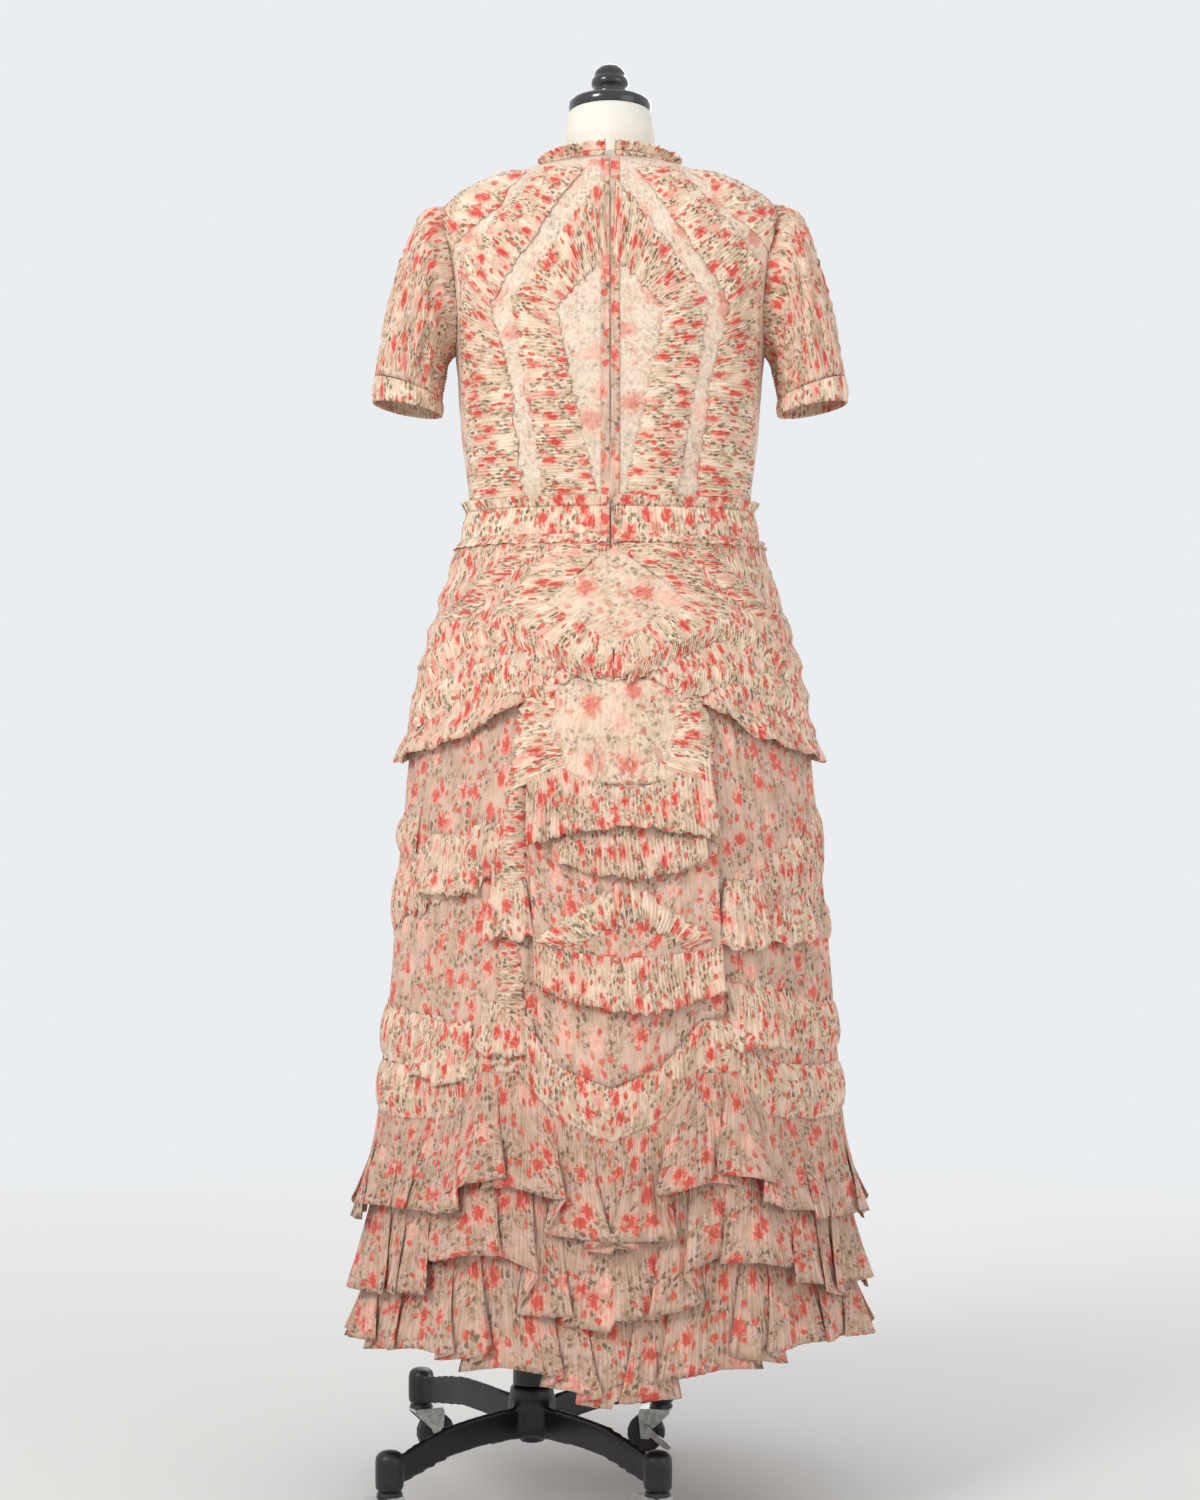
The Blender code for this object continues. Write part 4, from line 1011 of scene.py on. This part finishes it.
def hem_at(phi, name):
    """Height of the flounces' seam or of one flounce's lower edge, in mm."""
    columns = list(zip(*HEMS))
    return np.interp(from_centre(phi), columns[0], columns[HEM_COLUMNS.index(name)])


def seam_at(phi):
    return hem_at(phi, "seam")


def panel_edges(z):
    """The angles of the panel's left and right edge at a height."""
    lower = (690 - z) / 270
    return -25 + 8 * lower, 31 - 2 * lower


def panel_phi(f, z):
    """The angle at a share f of the panel's width."""
    left, right = panel_edges(z)
    return left + (right - left) * f


def panel_out(phi, z):
    left, right = panel_edges(z)
    share = (phi - left) / (right - left)
    lift = np.maximum(0, (share - 0.86) / 0.14) + 0.5 * np.maximum(0, (0.14 - share) / 0.14)
    return PANEL_OUT + PANEL_EDGE_LIFT * lift * smooth((z - 470) / 50) * smooth((735 - z) / 50)


def back_panel():
    f, share = across(96), down(48)
    phi = panel_phi(f, PANEL_TOP + (430 - PANEL_TOP) * share)
    z = PANEL_TOP + (seam_at(phi) + BAND_DEPTH + 3 - PANEL_TOP) * share
    phi = panel_phi(f, z)
    wave = gathers(f, share * 300, 17, 130, 0.8)
    ridge = sum(np.exp(-(((f - middle) / RIDGE_HALF) ** 2)) for middle in PANEL_RIDGES)
    points = dress(phi, z, panel_out(phi, z) + 1.0 + 0.8 * wave + 1.2 * ridge)
    sew("back_panel_net", points, cut_of(points, 1.3, (0, 2600.0)), "skirt", ["back_panel"])


back_panel()

# %% [markdown]
# A shield of pale net with a ruched border down each side lies on the panel's top. Below
# it two ruffles cross the panel, and the upper one has a second layer under it.

# %% Shield and ruffles
SHIELD_EDGE = ((52, 812), (61, 768), (46, 726)), ((78, 812), (88, 768), (90, 708))
PANEL_FOLDS = 46
PANEL_FRILLS = (
    ("ruffle_a_ruched", 708, 672, 656, 3.4, 34.0, (0, 1), 141, ["ruffle_a"]),
    ("ruffle_b_ruched", 552, 500, 522, 2.2, 10.0, (0, 1), 143, ["ruffle_b"]),
    ("ruffle_a_under", 690, 624, 648, 1.7, 6.0, (0.14, 0.94), 147, []),
)


def panel_frill(name, top, low_middle, low_ends, lift, rise, span, seed, replaces):
    """A ruffle gathered a third of the way down. Its ends stand rise mm above its middle."""
    folds = round(PANEL_FOLDS * (span[1] - span[0]))
    f, share = across(folds * 5 + 1, *span), down(16)
    end = np.abs(2 * f - 1.08) ** 1.6
    low = low_middle + (low_ends - low_middle) * end
    z = (top + rise * end) + (low - top - rise * end) * share
    phi = panel_phi(f, z)
    pleat = gathers(share_of(f), share * 60, folds, seed, 0.5)
    soft = gathers(share_of(f), share * 60, max(3, folds // 5), seed + 1, 0.6)
    gathered = np.exp(-((share - 0.32) / 0.1) ** 2)
    flare = 7.5 * smooth((share - 0.3) / 0.7) ** 1.2
    out = panel_out(phi, z) + lift + flare + (1 + pleat) * (0.9 + 0.8 * share) - 0.9 * gathered
    out = out + 2.2 * soft * share
    z = z + 2.2 * share * uneven(f * 34, 0, seed + 2)
    points = dress(phi, z, out)
    sew(name, points, cut_of(points, 1.6, (0, 10.0 * seed)), "ruffle", replaces)


def over_panel(phi, z):
    return panel_out(phi, z) + 2.6


def shield():
    f, share = across(40), down(24)
    phi, z = -20 + 45 * f + 0 * share, 812 - 100 * share + 0 * f
    points = dress(phi, z, over_panel(phi, z) - 0.6 + 0.7 * uneven(f * 9, share * 4, 181))
    sew("shield_net", points, cut_of(points, 1.05, (500.0, 480.0)), "hip")
    for side, label in SIDES:
        edges = [[(float(phi_of(3 + side * x, z)), z) for x, z in row] for row in SHIELD_EDGE]
        ruched(f"shield_edge_{label}", *edges, over_panel, 185 + side, True, fold=1.6,
               crown=2.0, heading=3.4, rests_on=["shield_net"])


shield()
for row in PANEL_FRILLS:
    panel_frill(*row)

# %% [markdown]
# Ruched strips cross the panel as an open lattice and slant down the skirt beside it.
# Like every band they are cut straight, and only their gathering bends them.

# %% Strips on the skirt
SKIRT_STRIPS = (
    ("lattice_left", ((-21, 566), (3, 620)), ((-14, 560), (4, 586)), True, 151),
    ("lattice_right", ((5, 620), (28, 568)), ((6, 588), (22, 560)), True, 152),
    ("slant_left", ((-84, 622), (-30, 684)), ((-84, 566), (-30, 630)), False, 153),
    ("slant_right", ((36, 616), (84, 690)), ((36, 556), (84, 628)), False, 154),
    ("column_left", ((-32, 732), (-33, 650), (-31, 560), (-31, 470)),
     ((-27, 732), (-25, 650), (-26, 560), (-21, 470)), False, 156),
)


STRIP_LIFT = 1.4


def over_net(phi, z):
    return STRIP_LIFT + 0 * z


def over_lattice(phi, z):
    return panel_out(phi, z) + 1.2 + STRIP_LIFT


def skirt_strips():
    for name, upper, lower, on_panel, seed in SKIRT_STRIPS:
        stands_for = [name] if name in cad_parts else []
        ruched(f"{name}_ruched", lower, upper, over_lattice if on_panel else over_net, seed,
               True, stands_for, fold=1.8, crown=2.2, heading=4.6,
               finish="ruched" if on_panel else "ruffle",
               rests_on=["back_panel_net" if on_panel else "skirt_net_back"], pitch=4.0)


skirt_strips()

# %% [markdown]
# Short fans of pleated net hang here and there beside the panel. Each one is sewn down
# along its gathered top and at its two corners, and opens towards its hem.

# %% Small frills
SMALL_FRILLS = (
    (-94, 624, 15, 23, 58), (-100, 510, 16, 23, 52), (-153, 664, 24, 33, 60),
    (-160, 488, 22, 32, 58), (124, 622, 19, 28, 64), (136, 514, 21, 28, 52),
    (172, 606, 16, 24, 48),
)


def small_frills():
    f, share = across(49, -1, 1), down(12)
    for number, (middle, top, gathered, opened, drop) in enumerate(SMALL_FRILLS):
        pleat = gathers((f + 1) / 2, share * drop, 9, 190 + number, 0.4)
        z = top - (drop + 4 * uneven(f * 4, 0, 200 + number) - 6 * f**2) * share
        x = middle + f * (gathered + (opened - gathered) * share)
        out = 3.6 + 5.5 * share**1.2 + (1 + pleat) * (0.5 + 1.4 * share)
        points = dress(phi_of(x, z), z, out * (1 - 0.55 * f**8))
        sew(f"small_frill_{number + 1}", points,
            cut_of(points, 1.6, (150.0 * number, 5200.0)), "ruffle")


small_frills()

# %% [markdown]
# Narrow ruched bands run round the sides too. Seen from behind they are the small bumps
# that notch the skirt's outline.

# %% Bands round the sides
SIDE_LEVELS = (
    ("side_level_left", ((-126, 478), (-84, 496), (-62, 492), (-37, 486)),
     ((-126, 438), (-84, 447), (-62, 444), (-37, 440))),
    ("side_level_right", ((31, 526), (42, 522), (62, 502), (90, 498), (126, 480)),
     ((31, 470), (42, 466), (62, 458), (90, 450), (126, 438))),
    ("slant_end_left", ((-124, 594), (-84, 622)), ((-124, 548), (-84, 566))),
    ("slant_end_right", ((84, 690), (124, 660)), ((84, 628), (124, 608))),
    ("side_high_left", ((-122, 682), (-66, 676)), ((-122, 650), (-66, 642))),
    ("side_high_right", ((80, 596), (124, 590)), ((80, 556), (124, 548))),
)


def side_levels():
    for number, (name, upper, lower) in enumerate(SIDE_LEVELS):
        ruched(name, lower, upper, 1.6, 160 + number, True, fold=1.8, crown=2.4, heading=3.6,
               finish="ruffle", rests_on=["skirt_net_back"], pitch=4.2)


side_levels()

# %% [markdown]
# The pointed band carries the flounces. All of them rise and fall in five points round
# the hem, low at centre back.

# %% Pointed band
POINTED_FOLDS = 300


def pointed_band():
    phi = across(POINTED_FOLDS * 3 + 1, 0, 360)[:, :-1]
    z = seam_at(phi) + BAND_DEPTH * (1 - BAND_ROWS) + 1.5
    wave = gathers(phi / 360, BAND_ROWS * 46, POINTED_FOLDS, 170, 0.5)
    puff = bulge(np.clip(BAND_ROWS, 0, 1)) ** 0.6
    points = dress(phi, z, 1.4 + 2.6 * puff + 1.5 * (0.2 + puff) * (1 + wave))
    sew("pointed_band_ruched", points, cut_of(points, 1.5, (0, 3300.0), True), "ruffle",
        ["pointed_band"], True)


pointed_band()

# %% [markdown]
# The flounces are net pleated fine at the seam and let go at the hem. Their pleats open
# into fans that overlap like tiles, so each free edge steps in and out as it goes round.

# %% Flounces
TIERS = (("tier_1", 181), ("tier_2", 185), ("tier_3_hem", 189))
LAYER, TIER_FLARE, TIER_WAVE, TIER_OVERLAP = 1.6, 15.5, 5.0, 26.0
FANS, FACE, LAP = 28, 0.82, 0.24
TIER_COLUMNS, TIER_PLEATS, HEM_DROP = 1000, 190, 6.0


def fans(turn, seed):
    """How each fan of pleats lies: its slide in fans' widths, its rise, hem drop and middle.

    From 0 to FACE of its cloth a fan shows its face, which reaches LAP over each neighbour.
    The rest of its cloth runs back under that face to where the next fan starts.
    """
    away = FANS * (0.5 - np.abs(turn))
    shift = 0.5 * uneven(away, 0, seed) * smooth(away) * smooth(FANS / 2 - away)
    place = away + FACE * LAP / (1 + 2 * LAP - FACE) + shift
    number = np.floor(place).astype(int)
    f = place - number
    mirror = np.where(turn > 0, 40, 0)

    def own(k, row):
        return FIELD[(k + mirror) % 256, (seed + row) % 256]

    on_face, back, face = f / FACE, (f - FACE) / (1 - FACE), f < FACE
    slide = np.where(face, -LAP + (1 + 2 * LAP) * on_face, 1 + LAP - 2 * LAP * back) - f
    rise = np.where(face, 2 * on_face - 1, 1 - 2 * back)

    def along(value, tilt):
        first, last = value(number) - tilt(number), value(number) + tilt(number)
        following = value(number + 1) - tilt(number + 1)
        return np.where(face, first + (last - first) * on_face, last + (following - last) * back)

    drop = along(lambda k: own(k, 3), lambda k: 0.5 + 0.7 * own(k, 7))
    middle = along(lambda k: 180 - 360 * np.clip((k + 0.3) / FANS, 0, 0.5), lambda k: 0.0)
    return slide * -np.sign(turn), rise, drop, middle


def flounces():
    above, overlap = "seam", -1.0
    turn, share = across(TIER_COLUMNS + 1, -0.5, 0.5)[:, :-1], down(15)
    for number, (name, seed) in enumerate(TIERS):
        slide, rise, drop, middle = fans(turn, seed)
        opened = share**1.2
        phi = 360 * turn + slide * opened * 360 / FANS
        top = hem_at(phi, above) + overlap
        low = 0.25 * hem_at(phi, name) + 0.75 * hem_at(middle, name)
        z = top + (low - top) * share + share**2 * HEM_DROP * drop
        pleat = gathers(turn + 0.5, share * 50, TIER_PLEATS, seed, 0.35, crisp=True)
        out = LAYER + TIER_FLARE * share ** (1.6 if number == 0 else 1.25)
        out = out + share**1.3 * TIER_WAVE * np.cos(np.radians(WAVES * phi))
        out = out + 3.6 * opened * rise + (0.6 + 1.5 * share) * (1 + pleat)
        points = dress(phi, z, out)
        sew(f"{name}_pleated", points, cut_of(points, 1.15, (0, 3800.0 + 200 * number), True),
            "flounce", [name], True)
        above, overlap = name, TIER_OVERLAP


flounces()

# %% [markdown]
# Finial and neck cap are turned and lacquered black. A profile is extruded point by point
# in edit mode and spun round the form's own axis.

# %% Turned pieces
CAP = ((0.1, 1396.6), (36, 1396.6), (39.5, 1396), (41.3, 1394), (41.5, 1391), (41.3, 1388),
       (40.2, 1385.2), (38, 1384.6), (0.1, 1384.6))
FINIAL = ((0.1, 1435), (6, 1434.2), (11, 1431.6), (14.4, 1428), (15.9, 1424.4), (15.7, 1421.8),
          (16.2, 1421), (18.2, 1419), (18.9, 1415.8), (18.2, 1412.4), (15.8, 1410.4),
          (15.6, 1409.4), (17.8, 1407.4), (18.6, 1404.4), (17.8, 1400.8), (16, 1398.4),
          (16, 1396), (0.1, 1396))


NECK_TOP, TURNED_STEPS = 1.384, 48


def turned(name, profile, replaced):
    """A profile of (radius, z) in mm, spun into a closed solid by the spin operator."""
    bpy.ops.object.select_all(action="DESELECT")
    bpy.ops.mesh.primitive_plane_add(size=0.002, location=(0, 0, 0))
    piece = bpy.context.object
    piece.name = piece.data.name = name
    bpy.ops.object.mode_set(mode="EDIT")
    bpy.ops.mesh.select_all(action="SELECT")
    bpy.ops.mesh.merge(type="CENTER")
    start = Vector((profile[0][0], NECK_Y, profile[0][1])) * MM
    bpy.ops.transform.translate(value=start)
    for (r0, z0), (r1, z1) in zip(profile, profile[1:]):
        bpy.ops.mesh.extrude_region_move(
            TRANSFORM_OT_translate={"value": ((r1 - r0) * MM, 0, (z1 - z0) * MM)}
        )
    bpy.ops.mesh.select_all(action="SELECT")
    bpy.ops.mesh.spin(steps=TURNED_STEPS, angle=2 * math.pi, axis=(0, 0, 1),
                      center=(0, NECK_Y * MM, 0))
    bpy.ops.mesh.select_all(action="SELECT")
    bpy.ops.mesh.remove_doubles(threshold=0.00015)
    bpy.ops.mesh.normals_make_consistent(inside=False)
    bpy.ops.transform.rotate(value=math.atan(NECK_LEAN), orient_axis="X",
                             center_override=(0, NECK_Y * MM, NECK_TOP))
    bpy.ops.object.mode_set(mode="OBJECT")
    bpy.ops.object.shade_smooth_by_angle(angle=math.radians(40))
    piece.data.materials.append(gloss_black)
    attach(piece, "form")
    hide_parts(replaced)
    print(f"{name}: {len(piece.data.polygons)} faces")


def lacquer_finish(name, tone, roughness, grain, depth, coat=0.0):
    made, shader, wire = finish_of(name, roughness, coat=coat)
    spot = solid_spot(wire)
    speckle = noise(wire, spot, grain, 3.0, solid=True)
    wear = noise(wire, spot, 24.0, 5.0, solid=True)
    worn = tuple(2.0 * c + 0.003 for c in tone)
    colour = (wear.under(0.42, 0.2) * 0.6).mix((*tone, 1), (*worn, 1))
    feed(shader, colour, "Base Color")
    feed(shader, roughness + (wear - 0.5) * 0.25, "Roughness")
    relief(shader, speckle, depth, 0.0006)
    return made


gloss_black = lacquer_finish("gloss_black", (0.012, 0.012, 0.013), 0.22, 60.0, 0.05, 0.5)
cast_black = lacquer_finish("cast_black", (0.006, 0.006, 0.007), 0.36, 700.0, 0.35)
turned("neck_cap_turned", CAP, "neck_cap")
turned("finial_turned", FINIAL, "finial")

# %% [markdown]
# The stand's base is one iron casting: a hub, four arched legs, and a socket over each
# caster. It is made from extruded boxes and posts, run together by a voxel remesh. That
# fills the inner corners, as molten iron does in its mould.

# %% Cast base
LEG_ARCH = ((0.0, 76, 13), (0.2, 78, 12.6), (0.42, 81, 12), (0.6, 80, 11.6), (0.78, 74, 11.4),
            (0.92, 68, 11), (1.0, 66, 10.5))
LEG_SCALE, VOXEL, SMOOTHING = (0.88, 0.88, 1.34), 2.5, 18
HUB = ((25, 64, 98), (22, 90, 112), (14, 54, 70))
SOCKET, SOCKET_TOP_SHARE = (14.0, 51.4, 84), 0.6
POLE_X = -78.0
FEET = ((-207, -171), (44, -171), (-200, 170), (55, 170))


def cast_leg(x, y):
    """A leg as a box, extruded in edit mode from ring to ring of its arch."""
    foot = Vector((x - POLE_X, y, 0))
    spots = [Vector((POLE_X, 0, z)) + foot * share for share, z, half in LEG_ARCH]
    angle = math.atan2(foot.y, foot.x)
    bpy.ops.object.select_all(action="DESELECT")
    bpy.ops.mesh.primitive_plane_add(size=2 * LEG_ARCH[0][2] * MM, location=(0, 0, 0))
    leg = bpy.context.object
    bpy.ops.object.mode_set(mode="EDIT")
    bpy.ops.mesh.select_all(action="SELECT")
    bpy.ops.transform.rotate(value=math.pi / 2, orient_axis="Y", center_override=(0, 0, 0))
    bpy.ops.transform.rotate(value=angle, orient_axis="Z", center_override=(0, 0, 0))
    bpy.ops.transform.resize(value=LEG_SCALE, center_override=(0, 0, 0))
    bpy.ops.transform.translate(value=spots[0] * MM)
    for (before, after), (one, two) in zip(zip(spots, spots[1:]), zip(LEG_ARCH, LEG_ARCH[1:])):
        bpy.ops.mesh.extrude_region_move(TRANSFORM_OT_translate={"value": (after - before) * MM})
        bpy.ops.transform.resize(value=(two[2] / one[2],) * 3, center_override=after * MM)
    bpy.ops.object.mode_set(mode="OBJECT")
    return leg


def round_part(radius, low, top, x, y, shrink=1.0):
    """A short round post whose upper end is drawn in by an inset."""
    bpy.ops.object.select_all(action="DESELECT")
    bpy.ops.mesh.primitive_cylinder_add(
        vertices=40, radius=radius * MM, depth=(top - low) * MM,
        location=(x * MM, y * MM, (top + low) / 2 * MM),
    )
    post = bpy.context.object
    if shrink < 1:
        bpy.ops.object.mode_set(mode="EDIT")
        bpy.ops.mesh.select_all(action="DESELECT")
        bpy.ops.object.mode_set(mode="OBJECT")
        for face in post.data.polygons:
            face.select = face.normal.z > 0.9
        bpy.ops.object.mode_set(mode="EDIT")
        bpy.ops.mesh.inset(thickness=radius * (1 - shrink) * MM)
        bpy.ops.transform.translate(value=(0, 0, 5 * MM))
        bpy.ops.object.mode_set(mode="OBJECT")
    return post


def cast_base():
    """Hub, legs and sockets run into one casting."""
    things = [round_part(*sizes, POLE_X, 0) for sizes in HUB]
    for x, y in FEET:
        things.append(cast_leg(x, y))
        things.append(round_part(*SOCKET, x, y, SOCKET_TOP_SHARE))
    bpy.ops.object.select_all(action="DESELECT")
    for thing in things:
        thing.select_set(True)
    bpy.context.view_layer.objects.active = things[0]
    bpy.ops.object.join()
    piece = bpy.context.object
    piece.name = piece.data.name = "cast_base"
    bpy.ops.object.transform_apply(location=True, rotation=True, scale=True)
    remesh = piece.modifiers.new("run together", "REMESH")
    remesh.mode = "VOXEL"
    remesh.voxel_size = VOXEL * MM
    bpy.ops.object.modifier_apply(modifier=remesh.name)
    soften = piece.modifiers.new("cast edges", "SMOOTH")
    soften.factor = 0.5
    soften.iterations = SMOOTHING
    bpy.ops.object.modifier_apply(modifier=soften.name)
    bpy.ops.object.shade_smooth()
    refinish(piece, cast_black)
    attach(piece, "base")
    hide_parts("base_casting")
    print(f"cast_base: {len(piece.data.polygons)} faces")


cast_base()

# %% [markdown]
# The rest of the stand keeps its CAD solids: a plywood board, a black pole, zinc-plated
# forks and brake pedals, and rubber wheels. They only get their finishes here.

# %% Stand finishes
BOARD_LIGHT, BOARD_DARK = (0.55, 0.40, 0.25, 1), (0.42, 0.29, 0.17, 1)


def metal_finish(name, tone, roughness):
    made, shader, wire = finish_of(name, roughness, metallic=1.0)
    cloud = noise(wire, solid_spot(wire), 160.0, 4.0, solid=True)
    dull = tuple(0.7 * c for c in tone)
    feed(shader, cloud.under(0.45, 0.3).mix((*tone, 1), (*dull, 1)), "Base Color")
    feed(shader, roughness + (cloud - 0.5) * 0.3, "Roughness")
    relief(shader, cloud, 0.1, 0.0003)
    return made


def wood_finish():
    made, shader, wire = finish_of("plywood", 0.6)
    inputs = {"Vector": solid_spot(wire), "Scale": 22.0, "Distortion": 6.0, "Detail": 2.0}
    grain = wire.node("TexWave", {"bands_direction": "X"}, inputs, 1)
    feed(shader, grain.mix(BOARD_LIGHT, BOARD_DARK), "Base Color")
    return made


zinc = metal_finish("zinc_plate", (0.62, 0.63, 0.62), 0.28)
rubber = lacquer_finish("black_rubber", (0.02, 0.02, 0.021), 0.6, 300.0, 0.15)
NODE_FINISH = {"base_board": wood_finish(), "base_casting": cast_black, "pole": cast_black,
               "fork": zinc, "wheel": rubber, "bearing": cast_black, "brake": zinc}
for node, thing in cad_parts.items():
    for start, look in NODE_FINISH.items():
        if node.startswith(start):
            refinish(thing, look)
print("finished nodes:", sum(n.startswith(tuple(NODE_FINISH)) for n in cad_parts))

# %% [markdown]
# A plain pale floor runs out into a pale room, and three large soft lamps stand round it.

# %% Floor and light
ROOM, BLACK, FLOOR_TONE = (0.83, 0.85, 0.87, 1), (0, 0, 0, 1), (0.66, 0.65, 0.63, 1)
LAMPS = (("key", (-1.8, -2.2, 2.3), 0.9, 46), ("fill", (2.4, -2.0, 1.3), 2.0, 14),
         ("front", (0.6, 2.8, 2.2), 1.8, 30))
LAMP_TARGET, FLOOR_RADIUS, FLOOR_FADE = Vector((0, 0, 0.8)), 30, 1.6


def floor():
    bpy.ops.object.select_all(action="DESELECT")
    bpy.ops.mesh.primitive_circle_add(vertices=96, radius=FLOOR_RADIUS, fill_type="NGON")
    ground = bpy.context.object
    ground.name = "floor"
    made, shader, wire = finish_of("pale_floor", 0.7)
    settings = {"operation": "MULTIPLY"}
    flat = wire.node("VectorMath", settings, {0: solid_spot(wire), 1: (1, 1, 0)})
    away = wire.node("VectorMath", {"operation": "LENGTH"}, {0: flat}, 1)
    near = away.under(FLOOR_FADE, FLOOR_FADE)
    shader.inputs["Emission Strength"].default_value = 1.0
    shader.inputs["Specular IOR Level"].default_value = 0.0
    feed(shader, near.mix(BLACK, FLOOR_TONE), "Base Color")
    feed(shader, near.mix(ROOM, BLACK), "Emission Color")
    ground.data.materials.append(made)


def room_light():
    world = bpy.data.worlds.new("room")
    bpy.context.scene.world = world
    world.use_nodes = True
    back = world.node_tree.nodes["Background"]
    back.inputs["Color"].default_value = ROOM
    back.inputs["Strength"].default_value = 1.0


def lamp(name, place, size, power):
    light = bpy.data.lights.new(name, "AREA")
    light.size, light.energy = size, power
    thing = bpy.data.objects.new(name, light)
    bpy.context.scene.collection.objects.link(thing)
    thing.location = place
    aim = LAMP_TARGET - Vector(place)
    thing.rotation_euler = aim.to_track_quat("-Z", "Y").to_euler()


floor()
room_light()
for row in LAMPS:
    lamp(*row)
bpy.context.scene.view_settings.view_transform = "Standard"
print("lamps:", len(bpy.data.lights))

# %% [markdown]
